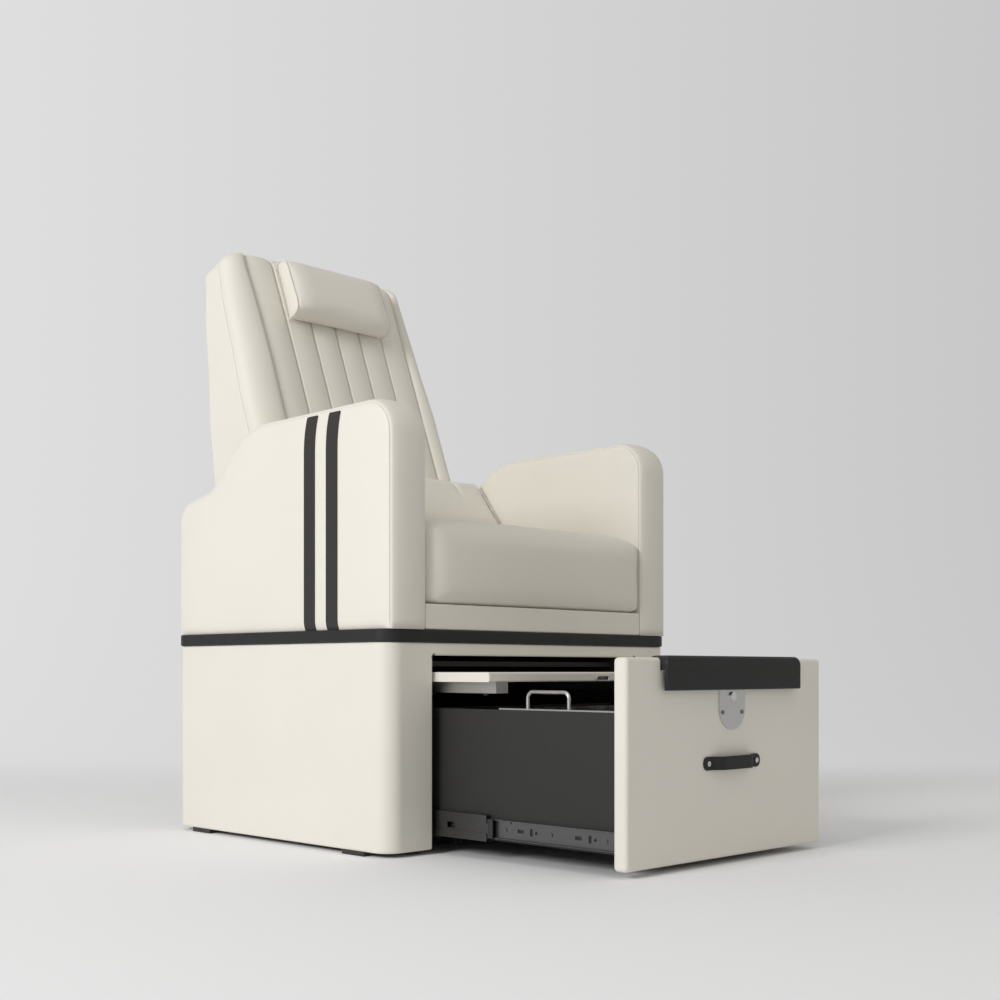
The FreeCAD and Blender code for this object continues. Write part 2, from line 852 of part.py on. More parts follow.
def make_hinges():
    """Two friction pivots: brackets on the belt board, tabs under the back and their pins."""
    half = hinge_plate_width / 2
    reach = hinge_plate_width / 2
    top = back_point(-back_below_seam, 0)[1]
    brackets = []
    tabs = []
    pins = []
    for side_sign in (-1, 1):
        inner = side_sign * hinge_spread
        outer = inner + side_sign * hinge_plate
        xs = tuple(sorted((inner, outer)))
        plate = [
            (hinge_y - half, belt_top, 0),
            (hinge_y + half, belt_top, 0),
            (hinge_y + half, hinge_z + reach, half / 2),
            (hinge_y - half, hinge_z + reach, half / 2),
        ]
        bracket = prism(plate, on_side(xs[0]), Vector(hinge_plate, 0, 0))
        foot_xs = tuple(sorted((inner, inner + side_sign * hinge_foot_width)))
        foot = block(foot_xs, (hinge_y - half, hinge_y + half), span(belt_top, hinge_plate))
        bracket = bracket.fuse(foot).removeSplitter()
        tab_outer = inner - side_sign * soft_gap
        tab_inner = tab_outer - side_sign * hinge_plate
        tab_xs = tuple(sorted((tab_inner, tab_outer)))
        tab_plate = [
            (hinge_y - half, hinge_z - half, half / 2),
            (hinge_y + half, hinge_z - half, half / 2),
            (hinge_y + half, top + back_wall, 0),
            (hinge_y - half, top + back_wall, 0),
        ]
        tab = prism(tab_plate, on_side(tab_xs[0]), Vector(hinge_plate, 0, 0))
        hole_start = Vector(min(tab_xs[0], xs[0]) - overrun, hinge_y, hinge_z)
        hole_end = Vector(max(tab_xs[1], xs[1]) + overrun, hinge_y, hinge_z)
        hole = rod(hinge_pin_radius + hinge_pin_clearance, hole_start, hole_end)
        brackets.append(bracket.cut(hole))
        tabs.append(tab.cut(hole).cut(nodes["back_shell"]))
        head_radius, head_length = hinge_pin_head
        gap = side_sign * soft_gap
        pin_out = Vector(outer + gap, hinge_y, hinge_z)
        pin_in = Vector(tab_inner - gap, hinge_y, hinge_z)
        out_way = Vector(side_sign * head_length, 0, 0)
        pin = rod(hinge_pin_radius, pin_in, pin_out)
        pin = pin.multiFuse([
            rod(head_radius, pin_out, pin_out + out_way),
            rod(head_radius, pin_in - out_way, pin_in),
        ]).removeSplitter()
        pins.append(pin)
    nodes["recline_brackets"] = together(brackets)
    nodes["recline_tabs"] = together(tabs)
    nodes["recline_pins"] = together(pins)


def make_drawer_box():
    """Dark sides, back, bottom and a divider behind the basin."""
    outer = drawer_outer_width / 2
    inner = outer - drawer_board
    ys = span(front_back, drawer_length)
    zs = (drawer_side_low, drawer_side_top)
    side = block((-outer, -inner), ys, zs)
    nodes["drawer_side_left"] = side
    nodes["drawer_side_right"] = mirrored(side)
    back_ys = (ys[1] - drawer_board, ys[1])
    nodes["drawer_back"] = block((-inner, inner), back_ys, zs)
    bottom_zs = span(drawer_side_low, drawer_bottom_thickness)
    nodes["drawer_bottom"] = block((-inner, inner), (front_back, back_ys[0]), bottom_zs)
    basin_rear = front_back + basin_front_gap + basin_length
    divider_ys = (basin_rear - drawer_board, basin_rear)
    divider_zs = (bottom_zs[1], drawer_side_top)
    nodes["drawer_divider"] = block((-inner, inner), divider_ys, divider_zs)


def make_drawer_front():
    """The thick wrapped front with a recess for the footrest and a shaft for its post."""
    xs = middle(drawer_front_width)
    zs = (drawer_front_floor_gap, front_top)
    front = block(xs, (front_face, front_back), zs)
    rim = []
    for edge in front.Edges:
        box = edge.BoundBox
        if box.YLength < nearest_points or box.XLength < nearest_points < box.YLength:
            rim.append(edge)
    front = front.makeFillet(drawer_edge_radius, rim)
    recess_half = rest_width / 2 + rest_recess_gap
    past = (front_face - overrun, front_back + overrun)
    front = front.cut(block((-recess_half, recess_half), past, (recess_floor, front_top + overrun)))
    guide_xs, guide_ys, guide_zs = guide_space()
    front = front.cut(block(guide_xs, guide_ys, guide_zs))
    button_start = Vector(0, front_face - overrun, button_height)
    well_end = Vector(0, guide_ys[0], button_height)
    front = front.cut(rod(button_hole_radius, button_start, well_end))
    well_rear = Vector(0, front_back + overrun, button_height)
    front = front.cut(rod(button_hole_radius, well_end, well_rear))
    for x in middle(plate_screw_spread):
        hole = Vector(x, front_face, plate_screw_height)
        front = front.cut(rod(screw_shank[0], hole, hole + Vector(0, screw_shank[1], 0)))
    for x in middle(stud_spread):
        hole = Vector(x, front_face, strap_height_centre)
        front = front.cut(rod(stud_shank[0], hole, hole + Vector(0, stud_shank[1], 0)))
    nodes["drawer_front"] = front


def guide_space():
    """The box that the footrest's guide tube fills inside the drawer front."""
    side = post_width / 2 + soft_gap + guide_wall
    centre = front_back - post_set_in - post_thickness / 2
    reach = post_thickness / 2 + soft_gap + guide_wall
    ys = (centre - reach, centre + reach)
    return (-side, side), ys, (recess_floor - guide_length, recess_floor)


def make_footrest():
    """The black pad on its flat post, the guide tube in the drawer front and the lock."""
    guide_xs, guide_ys, guide_zs = guide_space()
    tube = block(guide_xs, guide_ys, guide_zs)
    inside_xs = (guide_xs[0] + guide_wall, guide_xs[1] - guide_wall)
    inside_ys = (guide_ys[0] + guide_wall, guide_ys[1] - guide_wall)
    tube = tube.cut(block(inside_xs, inside_ys, (guide_zs[0] - overrun, guide_zs[1] + overrun)))
    through = Vector(0, guide_ys[0] - overrun, button_height)
    through_end = Vector(0, guide_ys[1] + overrun, button_height)
    nodes["footrest_guide"] = tube.cut(rod(button_hole_radius, through, through_end))
    post_ys = (inside_ys[0] + soft_gap, inside_ys[1] - soft_gap)
    rest_low = recess_floor + soft_gap
    post = block(middle(post_width), post_ys, (rest_low - post_length, rest_low))
    slot_half = button_stem_radius + soft_gap
    slot_top = button_height + slot_half
    slot_low = button_height - rest_lift - slot_half
    post_past = (post_ys[0] - overrun, post_ys[1] + overrun)
    slot = [
        (-slot_half, slot_low, 0),
        (slot_half, slot_low, 0),
        (slot_half, slot_top, 0),
        (-slot_half, slot_top, 0),
    ]
    post = post.cut(prism(slot, on_front(post_past[0]), Vector(0, post_past[1] - post_past[0], 0)))
    flange_width, flange_depth, flange_thickness = rest_flange
    flange_y = (front_face + front_back) / 2
    flange_ys = (flange_y - flange_depth / 2, flange_y + flange_depth / 2)
    flange = block(middle(flange_width), flange_ys, span(rest_low, flange_thickness))
    nodes["footrest_post"] = post.fuse(flange).removeSplitter()
    top = rest_low + rest_thickness
    lip_front = front_back - rest_depth
    lip_back = lip_front + rest_lip_thickness
    lip_low = top - rest_lip_height
    profile = [
        (front_back, rest_low, 0),
        (front_back, top, rest_radius),
        (lip_front, top, rest_radius),
        (lip_front, lip_low, rest_radius / 2),
        (lip_back, lip_low, 0),
        (lip_back, rest_low, 0),
    ]
    pad = prism(profile, on_side(-rest_width / 2), Vector(rest_width, 0, 0))
    front_view = [
        (-rest_width / 2, lip_low, 0),
        (-rest_width / 2, top, rest_corner_radius),
        (rest_width / 2, top, rest_corner_radius),
        (rest_width / 2, lip_low, 0),
    ]
    trim = prism(front_view, on_front(lip_front), Vector(0, front_back - lip_front, 0))
    nodes["footrest_pad"] = pad.common(trim).cut(flange)


def make_lock():
    """Escutcheon plate, its screws, the push button with its clamp disc and the spring."""
    half = plate_width / 2
    plate_face = front_face - plate_thickness
    outline = [
        (-half, plate_foot_height, half - nearest_points),
        (half, plate_foot_height, half - nearest_points),
        (half, plate_foot_height + plate_height, 0),
        (-half, plate_foot_height + plate_height, 0),
    ]
    plate = prism(outline, on_front(plate_face), Vector(0, plate_thickness, 0))
    hole = Vector(0, plate_face - overrun, button_height)
    plate = plate.cut(rod(button_hole_radius, hole, Vector(0, front_face + overrun, button_height)))
    head_radius, head_height = screw_head
    shank_radius, shank_depth = screw_shank
    screws = []
    for x in middle(plate_screw_spread):
        seat = Vector(x, plate_face, plate_screw_height)
        deep = Vector(x, front_face + shank_depth, plate_screw_height)
        plate = plate.cut(rod(shank_radius, seat, deep))
        head = rod(head_radius, seat - Vector(0, head_height, 0), seat)
        screws.append(head.fuse(rod(shank_radius, seat, deep)).removeSplitter())
    nodes["latch_plate"] = plate
    nodes["plate_screws"] = together(screws)
    guide_ys = guide_space()[1]
    tip = plate_face - button_proud
    cap_end = tip + button_length
    clamp_start = guide_ys[1] - guide_wall
    stem_end = clamp_start + clamp_thickness
    button = rod(button_radius, Vector(0, tip, button_height), Vector(0, cap_end, button_height))
    stem = rod(button_stem_radius, Vector(0, cap_end, button_height), Vector(0, stem_end, button_height))
    clamp = rod(clamp_radius, Vector(0, clamp_start, button_height), Vector(0, stem_end, button_height))
    nodes["lock_button"] = button.multiFuse([stem, clamp]).removeSplitter()
    spring_start = cap_end + spring_wire_radius
    spring_end = guide_ys[0] - spring_wire_radius
    pitch = (spring_end - spring_start) / spring_turns
    helix = Part.makeHelix(pitch, spring_end - spring_start, spring_radius)
    wire = Part.Wire(helix.Edges)
    ring = Part.makeCircle(spring_wire_radius, Vector(spring_radius, 0, 0), Vector(0, 1, 0))
    coil = wire.makePipeShell([Part.Wire([ring])], True, False)
    coil.rotate(Vector(0, 0, 0), Vector(1, 0, 0), -90)
    coil.translate(Vector(0, spring_start, button_height))
    nodes["button_spring"] = coil


def make_strap():
    """A bowed strap handle on two studs."""
    half = strap_length / 2
    flat = half - strap_flat
    bowed = flat - strap_rise_length
    under = front_face - strap_bow + strap_thickness
    bend = strap_bend_radius
    low = front_face
    face = front_face - strap_thickness
    ease = strap_thickness / 2
    corners = [
        (-half, low, 0),
        (-half, face, ease),
        (-flat, face, bend),
        (-bowed, front_face - strap_bow, bend),
        (bowed, front_face - strap_bow, bend),
        (flat, face, bend),
        (half, face, ease),
        (half, low, 0),
        (flat + ease, low, bend),
        (bowed - ease, under, bend),
        (-bowed + ease, under, bend),
        (-flat - ease, low, bend),
    ]
    start = strap_height_centre - strap_height / 2
    strap = prism(corners, on_plan(start), Vector(0, 0, strap_height))
    head_radius, head_height = stud_head
    shank_radius, shank_depth = stud_shank
    studs = []
    for x in middle(stud_spread):
        seat = Vector(x, face, strap_height_centre)
        deep = Vector(x, front_face + shank_depth, strap_height_centre)
        shank = rod(shank_radius, seat, deep)
        strap = strap.cut(shank)
        head = rod(head_radius, seat - Vector(0, head_height, 0), seat)
        studs.append(head.fuse(shank).removeSplitter())
    nodes["strap_handle"] = strap
    nodes["strap_studs"] = together(studs)


def rounded_plan(xs, ys, radius):
    """Corners of a level rectangle with one corner radius."""
    return [
        (xs[0], ys[0], radius),
        (xs[1], ys[0], radius),
        (xs[1], ys[1], radius),
        (xs[0], ys[1], radius),
    ]


def make_basin():
    """A lift-out steel foot basin: a deep bowl, a wide rim and two wire handles."""
    side_margin, end_margin = basin_bowl_margins
    rear = front_back + basin_front_gap + basin_length
    rim_xs = middle(basin_width)
    rim_ys = (front_back + basin_front_gap, rear)
    bowl_xs = (rim_xs[0] + side_margin, rim_xs[1] - side_margin)
    bowl_ys = (rim_ys[0] + end_margin, rim_ys[1] - end_margin)
    rim_low = drawer_side_top + soft_gap
    rim_top = rim_low + basin_rim_height
    foot = rim_top - basin_depth
    radius = basin_corner_radius
    outer = prism(rounded_plan(bowl_xs, bowl_ys, radius), on_plan(foot), Vector(0, 0, basin_depth))
    foot_edges = [edge for edge in outer.Edges if edge.BoundBox.ZMax < foot + nearest_points]
    outer = outer.makeFillet(basin_foot_radius, foot_edges)
    sheet = basin_sheet
    in_xs = (bowl_xs[0] + sheet, bowl_xs[1] - sheet)
    in_ys = (bowl_ys[0] + sheet, bowl_ys[1] - sheet)
    in_foot = foot + sheet
    height = rim_top + overrun - in_foot
    inner = prism(rounded_plan(in_xs, in_ys, radius - sheet), on_plan(in_foot), Vector(0, 0, height))
    foot_edges = [edge for edge in inner.Edges if edge.BoundBox.ZMax < in_foot + nearest_points]
    inner = inner.makeFillet(basin_foot_radius - sheet, foot_edges)
    rim_plan = rounded_plan(rim_xs, rim_ys, basin_plan_radius)
    rim = prism(rim_plan, on_plan(rim_low), Vector(0, 0, basin_rim_height))
    under_xs = (rim_xs[0] + sheet, rim_xs[1] - sheet)
    under_ys = (rim_ys[0] + sheet, rim_ys[1] - sheet)
    under_height = basin_rim_height - sheet
    under = block(under_xs, under_ys, (rim_low - overrun, rim_low + under_height))
    nodes["foot_basin"] = rim.cut(under).fuse(outer).cut(inner).removeSplitter()
    wire = basin_handle_wire / 2
    top = rim_top + basin_handle_rise - wire
    low_y = basin_handle_y - basin_handle_span / 2
    high_y = basin_handle_y + basin_handle_span / 2
    bend = basin_handle_bend
    handles = []
    for x in (-basin_handle_x, basin_handle_x):
        def at(y, z):
            return Vector(x, y, z)
        diagonal = bend * (1 - cos(radians(45)))
        path = [
            Part.LineSegment(at(low_y, rim_top), at(low_y, top - bend)),
            Part.Arc(at(low_y, top - bend), at(low_y + diagonal, top - diagonal), at(low_y + bend, top)),
            Part.LineSegment(at(low_y + bend, top), at(high_y - bend, top)),
            Part.Arc(at(high_y - bend, top), at(high_y - diagonal, top - diagonal),
                     at(high_y, top - bend)),
            Part.LineSegment(at(high_y, top - bend), at(high_y, rim_top)),
        ]
        spine = Part.Wire([one.toShape() for one in path])
        ring = Part.Wire([Part.makeCircle(wire, at(low_y, rim_top), Vector(0, 0, 1))])
        handles.append(spine.makePipeShell([ring], True, True))
    nodes["basin_handles"] = together(handles)


def channel(outer_x, depth, height, ys, open_in):
    """A sheet channel along Y on the left side: web at outer_x, lips towards or from the middle."""
    sheet = slide_sheet
    way = 1 if open_in else -1
    xs = tuple(sorted((outer_x, outer_x + way * depth)))
    inside = tuple(sorted((outer_x + way * sheet, outer_x + way * (depth + overrun))))
    low = slide_height_centre - height / 2
    high = slide_height_centre + height / 2
    whole = block(xs, ys, (low, high))
    return whole.cut(block(inside, (ys[0] - overrun, ys[1] + overrun), (low + sheet, high - sheet)))


def make_slides():
    """Ball-bearing drawer slides with their balls, end catches and screws."""
    fixed_web = -carcass_inner_width / 2
    fixed_ys = span(slide_setback, slide_length)
    fixed = channel(fixed_web, slide_fixed_depth, slide_fixed_height, fixed_ys, True)
    middle_web = fixed_web + slide_sheet + slide_side_gap
    middle_ys = span(-slide_middle_out, slide_length)
    moving = channel(middle_web, slide_middle_depth, slide_middle_height, middle_ys, True)
    band_height, band_depth = slide_middle_band
    band_zs = (slide_height_centre - band_height / 2, slide_height_centre + band_height / 2)
    band_xs = (middle_web - overrun, middle_web + band_depth)
    long_ys = (middle_ys[0] - overrun, middle_ys[1] + overrun)
    moving = moving.cut(block(band_xs, long_ys, band_zs))
    hole_length, hole_height = slide_middle_hole
    hole_zs = (slide_height_centre - hole_height / 2, slide_height_centre + hole_height / 2)
    hole_ys = (-slide_middle_hole_start - hole_length, -slide_middle_hole_start)
    hole_xs = (middle_web - overrun, middle_web + slide_sheet + soft_gap)
    moving = moving.cut(block(hole_xs, hole_ys, hole_zs))
    tongue_xs = (middle_web + band_depth, middle_web + slide_sheet)
    tongue = block(tongue_xs, (middle_ys[0] - slide_middle_tongue, middle_ys[0]), band_zs)
    moving = moving.fuse(tongue).removeSplitter()
    inner_web = -drawer_outer_width / 2
    inner_ys = span(front_back, slide_length)
    inner = channel(inner_web, slide_inner_depth, slide_inner_height, inner_ys, False)
    through_xs = (inner_web - slide_sheet - overrun, inner_web + overrun)
    mid = slide_height_centre
    for start in slot_starts:
        long_ys = (-start - slot_long[0], -start)
        inner = inner.cut(block(through_xs, long_ys, (mid - slot_long[1] / 2, mid + slot_long[1] / 2)))
        tall_ys = (-start - slot_tall_step - slot_tall[0], -start - slot_tall_step)
        inner = inner.cut(block(through_xs, tall_ys, (mid - slot_tall[1] / 2, mid + slot_tall[1] / 2)))
        hole = Vector(through_xs[0], -start - slot_hole_step, mid)
        inner = inner.cut(rod(slot_hole_radius, hole, Vector(through_xs[1], hole.y, mid)))
    end_start, end_rise, end_radius = slide_end_hole
    end_hole = Vector(through_xs[0], -end_start, mid + end_rise)
    inner = inner.cut(rod(end_radius, end_hole, Vector(through_xs[1], -end_start, mid + end_rise)))
    head_radius, head_height = screw_head
    screws = []
    for start in slide_screw_starts:
        seat_x = inner_web - slide_sheet
        seat = Vector(seat_x, -start, mid)
        deep = Vector(inner_web + drawer_board / 2, -start, mid)
        shank = rod(screw_shank[0], seat, deep)
        inner = inner.cut(shank)
        nodes["drawer_side_left"] = nodes["drawer_side_left"].cut(shank)
        head = rod(head_radius, seat - Vector(head_height, 0, 0), seat)
        screws.append(head.fuse(shank).removeSplitter())
    nodes["drawer_side_right"] = mirrored(nodes["drawer_side_left"])
    balls = []
    race = (slide_middle_height / 2 - slide_sheet + slide_inner_height / 2) / 2
    ball_x = inner_web - slide_inner_depth + slide_ball_radius
    for level in (mid - race, mid + race):
        for index in range(slide_ball_count):
            y = -slide_middle_out + catch_length - catch_reach + slide_ball_start + slide_ball_pitch * index
            balls.append(Part.makeSphere(slide_ball_radius, Vector(ball_x, y, level)))
    catch_xs = (middle_web + slide_sheet, inner_web - slide_inner_depth - slide_side_gap)
    catch_zs = (mid - slide_inner_height / 2, mid + slide_inner_height / 2)
    catch_ys = span(-slide_middle_out - catch_reach, catch_length)
    catch = block(catch_xs, catch_ys, catch_zs)
    nodes["slide_fixed_left"] = fixed
    nodes["slide_fixed_right"] = mirrored(fixed)
    nodes["slide_middle_left"] = moving
    nodes["slide_middle_right"] = mirrored(moving)
    nodes["slide_inner_left"] = inner
    nodes["slide_inner_right"] = mirrored(inner)
    nodes["slide_balls"] = together(balls + [mirrored(one) for one in balls])
    nodes["slide_catches"] = together([catch, mirrored(catch)])
    nodes["slide_screws"] = together(screws + [mirrored(one) for one in screws])


def make_shelf():
    """A pull-out shelf on two channel runners that slide along fixed rails."""
    half = shelf_width / 2
    ys = span(-shelf_out, shelf_length)
    top = shelf_bottom + shelf_thickness
    shelf = block((-half, half), ys, (shelf_bottom, top))
    front_edges = []
    for edge in shelf.Edges:
        if edge.BoundBox.YMax < ys[0] + nearest_points:
            front_edges.append(edge)
    nodes["shelf_board"] = shelf.makeFillet(shelf_edge_radius, front_edges)
    pull_width, pull_depth, pull_height = pull_size
    slot_width, slot_height = pull_slot
    pull_ys = (ys[0] - pull_depth, ys[0])
    pull_low = shelf_bottom + shelf_edge_radius / 2
    pull_xs = (pull_side - pull_width / 2, pull_side + pull_width / 2)
    pull = block(pull_xs, pull_ys, span(pull_low, pull_height))
    slot_low = pull_low + (pull_height - slot_height) / 2
    slot_ys = (pull_ys[0] - overrun, pull_ys[0] + pull_depth / 2)
    slot_xs = (pull_side - slot_width / 2, pull_side + slot_width / 2)
    nodes["shelf_pull"] = pull.cut(block(slot_xs, slot_ys, span(slot_low, slot_height)))
    outer = -half + runner_inset
    runner_xs = span(outer, runner_width)
    runner_zs = (shelf_bottom - runner_height, shelf_bottom)
    runner = block(runner_xs, ys, runner_zs)
    inside_xs = (runner_xs[0] + runner_wall, runner_xs[1] - runner_wall)
    inside_zs = (runner_zs[0] - overrun, runner_zs[1] - runner_wall)
    runner = runner.cut(block(inside_xs, (ys[0] + runner_wall, ys[1] + overrun), inside_zs))
    nodes["shelf_runners"] = together([runner, mirrored(runner)])
    centre = (runner_xs[0] + runner_xs[1]) / 2
    rail_top = inside_zs[1] - soft_gap
    rail_zs = (rail_top - rail_height, rail_top)
    rail = block((centre - rail_width / 2, centre + rail_width / 2),
                 span(rail_start, rail_length), rail_zs)
    arm_depth, arm_thickness, arm_rise_up = rail_arm
    wall = -carcass_inner_width / 2
    arms = []
    for start in rail_arm_starts:
        level_zs = (rail_zs[0] - arm_thickness, rail_zs[0])
        arms.append(block((wall, centre + rail_width / 2), span(start, arm_depth), level_zs))
        upright_zs = (rail_zs[0] - arm_thickness, rail_zs[0] + arm_rise_up)
        arms.append(block(span(wall, arm_thickness), span(start, arm_depth), upright_zs))
    rail = rail.multiFuse(arms).removeSplitter()
    nodes["shelf_rails"] = together([rail, mirrored(rail)])
    bumper_top = Vector(runner_xs[0] + runner_wall + bumper_radius, ys[0] + bumper_setback, inside_zs[1])
    bumper_low = Vector(bumper_top.x, bumper_top.y, runner_zs[0] - bumper_height)
    bumper = rod(bumper_radius, bumper_low, bumper_top)
    nodes["shelf_bumpers"] = together([bumper, mirrored(bumper)])


def place_and_write():
    """Moves the model so that the middle of its footprint is the origin, and writes each piece."""
    whole = together(list(nodes.values()))
    box = whole.optimalBoundingBox(False)
    middle_y = (box.YMin + box.YMax) / 2
    os.makedirs("parts", exist_ok=True)
    for name, shape in nodes.items():
        placed = shape.copy()
        placed.translate(Vector(0, -middle_y, 0))
        placed.exportStep("parts/" + name + ".step")
    print("pieces", len(nodes), "front plane of the base at y", -middle_y)
    print("box", box)


make_base()
make_carcass()
make_seat()
make_arms()
make_back_pad()
make_back_shell()
make_head_cushion()
make_lumbar()
make_hinges()
make_drawer_box()
make_drawer_front()
make_footrest()
make_lock()
make_strap()
make_basin()
make_slides()
make_shelf()
place_and_write()
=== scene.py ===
from math import atan2, cos, exp, pi, radians, sin, sqrt, tan

import bmesh
import bpy
import numpy as np
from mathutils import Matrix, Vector


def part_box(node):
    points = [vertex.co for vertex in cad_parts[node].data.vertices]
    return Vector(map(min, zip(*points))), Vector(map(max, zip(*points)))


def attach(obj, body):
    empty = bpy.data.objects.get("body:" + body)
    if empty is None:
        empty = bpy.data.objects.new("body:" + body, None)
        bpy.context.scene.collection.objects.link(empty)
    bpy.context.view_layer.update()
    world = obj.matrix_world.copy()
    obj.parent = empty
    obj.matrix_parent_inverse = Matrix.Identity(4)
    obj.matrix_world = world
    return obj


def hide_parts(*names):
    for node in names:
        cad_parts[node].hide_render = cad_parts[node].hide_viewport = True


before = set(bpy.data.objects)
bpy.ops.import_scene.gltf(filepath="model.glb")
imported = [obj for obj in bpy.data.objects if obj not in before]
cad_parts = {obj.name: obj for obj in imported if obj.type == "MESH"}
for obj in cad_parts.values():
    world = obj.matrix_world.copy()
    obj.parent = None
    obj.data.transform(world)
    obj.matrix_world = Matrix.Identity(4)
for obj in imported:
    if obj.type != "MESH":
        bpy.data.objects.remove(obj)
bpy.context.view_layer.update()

scene = bpy.context.scene
scene.view_settings.view_transform = "Standard"

# Camera. It stands level with the drawer, off the front left corner of the base, and looks
# along the bench's diagonal. The lens is shifted up, so upright edges stay upright.
base_corner = Vector((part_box("base_side_left")[0].x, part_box("base_front_header")[0].y, 0))
camera_distance = 2.28
camera_way = Vector((-0.649626, -0.764832, 0))
camera_height = 0.317
camera_data = bpy.data.cameras.new("camera")
camera_data.lens = 49.11
camera_data.sensor_width = 36
camera_data.shift_y = 0.1707
camera_data.clip_end = 60
camera = bpy.data.objects.new("camera", camera_data)
camera.location = base_corner + camera_way * camera_distance + Vector((0, 0, camera_height))
camera_look = Vector((0.70859, 0.70562, 0))
camera.rotation_euler = camera_look.to_track_quat("-Z", "Y").to_euler()
scene.collection.objects.link(camera)
scene.camera = camera

# Studio. A pale floor runs into a pale wall in one soft curve behind the bench. Far behind the
# bench the paper shines by itself, so that the backdrop stays bright without light on the bench;
# its glow is painted light falloff, brighter to the left on the lamp's side and dimmer to the
# right.
floor_reach = 9
floor_behind_camera = 4
floor_length = 9.3
wall_bend = 1.6
wall_height = 7
bend_steps = 16
glow_distance = 3.4
glow_fade = 1.5
glow_half_width = 2.6
across = Vector((camera_look.y, -camera_look.x, 0))
studio_mesh = bmesh.new()
floor_front = camera.location - camera_look * floor_behind_camera
floor_front.z = 0
edge_low = studio_mesh.verts.new(floor_front - across * floor_reach)
edge_high = studio_mesh.verts.new(floor_front + across * floor_reach)
strip_edge = studio_mesh.edges.new((edge_low, edge_high))


def extend_strip(edge, way):
    """Carries the open edge of the studio strip one step further."""
    made = bmesh.ops.extrude_edge_only(studio_mesh, edges=[edge])["geom"]
    verts = [item for item in made if isinstance(item, bmesh.types.BMVert)]
    bmesh.ops.translate(studio_mesh, verts=verts, vec=way)
    return [item for item in made if isinstance(item, bmesh.types.BMEdge)][0]


strip_edge = extend_strip(strip_edge, camera_look * floor_length)
for step in range(bend_steps):
    low_turn = pi / 2 * step / bend_steps
    high_turn = pi / 2 * (step + 1) / bend_steps
    forward = camera_look * (wall_bend * (sin(high_turn) - sin(low_turn)))
    upward = Vector((0, 0, wall_bend * (cos(low_turn) - cos(high_turn))))
    strip_edge = extend_strip(strip_edge, forward + upward)
extend_strip(strip_edge, Vector((0, 0, wall_height)))
bmesh.ops.recalc_face_normals(studio_mesh, faces=studio_mesh.faces[:])
studio_data = bpy.data.meshes.new("studio")
studio_mesh.to_mesh(studio_data)
studio_data.polygons.foreach_set("use_smooth", [True] * len(studio_data.polygons))
studio = bpy.data.objects.new("studio", studio_data)
scene.collection.objects.link(studio)
paper = bpy.data.materials.new("studio_paper")
paper.use_nodes = True
paper_nodes = paper.node_tree.nodes
paper_links = paper.node_tree.links
paper_shader = paper_nodes["Principled BSDF"]
paper_shader.inputs["Base Color"].default_value = (0.94, 0.945, 0.975, 1)
paper_shader.inputs["Roughness"].default_value = 0.85
paper_shader.inputs["Specular IOR Level"].default_value = 0.1
paper_place = paper_nodes.new("ShaderNodeTexCoord")


def along_way(way, start, end, smooth=False):
    """From 0 to 1 as the place moves along a way, from start to end."""
    measure = paper_nodes.new("ShaderNodeVectorMath")
    measure.operation = "DOT_PRODUCT"
    measure.inputs[1].default_value = way
    paper_links.new(paper_place.outputs["Object"], measure.inputs[0])
    spread = paper_nodes.new("ShaderNodeMapRange")
    if smooth:
        spread.interpolation_type = "SMOOTHSTEP"
    spread.inputs["From Min"].default_value = start
    spread.inputs["From Max"].default_value = end
    paper_links.new(measure.outputs["Value"], spread.inputs["Value"])
    return spread.outputs["Result"]


glow_start = camera.location.dot(camera_look) + glow_distance
glow_middle = camera.location.dot(across)
glow_share = along_way(camera_look, glow_start, glow_start + glow_fade, True)
# Painted light falloff: the glow is brighter on the lamp's side (left) and dimmer to the right.
painted_falloff_share = along_way(across, glow_middle - glow_half_width, glow_middle + glow_half_width)
painted_falloff_glow = paper_nodes.new("ShaderNodeMixRGB")
painted_falloff_glow.inputs["Color1"].default_value = (0.735, 0.735, 0.735, 1)
painted_falloff_glow.inputs["Color2"].default_value = (0.575, 0.575, 0.578, 1)
paper_links.new(painted_falloff_share, painted_falloff_glow.inputs["Fac"])
glow = paper_nodes.new("ShaderNodeEmission")
paper_links.new(painted_falloff_glow.outputs["Color"], glow.inputs["Color"])
rays = paper_nodes.new("ShaderNodeLightPath")
seen = rays.outputs["Is Camera Ray"]
for ray in ("Is Glossy Ray", "Is Transmission Ray"):
    more = paper_nodes.new("ShaderNodeMath")
    more.operation = "MAXIMUM"
    paper_links.new(seen, more.inputs[0])
    paper_links.new(rays.outputs[ray], more.inputs[1])
    seen = more.outputs["Value"]
glow_amount = paper_nodes.new("ShaderNodeMath")
glow_amount.operation = "MULTIPLY"
paper_links.new(glow_share, glow_amount.inputs[0])
paper_links.new(seen, glow_amount.inputs[1])
paper_mix = paper_nodes.new("ShaderNodeMixShader")
paper_links.new(glow_amount.outputs["Value"], paper_mix.inputs["Fac"])
paper_links.new(paper_shader.outputs["BSDF"], paper_mix.inputs[1])
paper_links.new(glow.outputs["Emission"], paper_mix.inputs[2])
paper_out = paper_nodes["Material Output"]
paper_links.new(paper_mix.outputs["Shader"], paper_out.inputs["Surface"])
studio_data.materials.append(paper)

# Light. One wide lamp stands low to the left of the camera, a weak one above, and an even
# warm grey sky fills the rest.
sky = bpy.data.worlds.new("sky")
sky.use_nodes = True
sky.node_tree.nodes["Background"].inputs["Color"].default_value = (1, 0.985, 0.915, 1)
sky.node_tree.nodes["Background"].inputs["Strength"].default_value = 0.445
scene.world = sky
bench_middle = Vector((0, 0.1, 0.6))


def lamp(name, place, size, power):
    """A soft rectangular lamp that faces the bench."""
    data = bpy.data.lights.new(name, "AREA")
    data.shape = "RECTANGLE"
    data.size, data.size_y = size
    data.energy = power
    obj = bpy.data.objects.new(name, data)
    obj.location = place
    obj.rotation_euler = (bench_middle - obj.location).to_track_quat("-Z", "Y").to_euler()
    scene.collection.objects.link(obj)


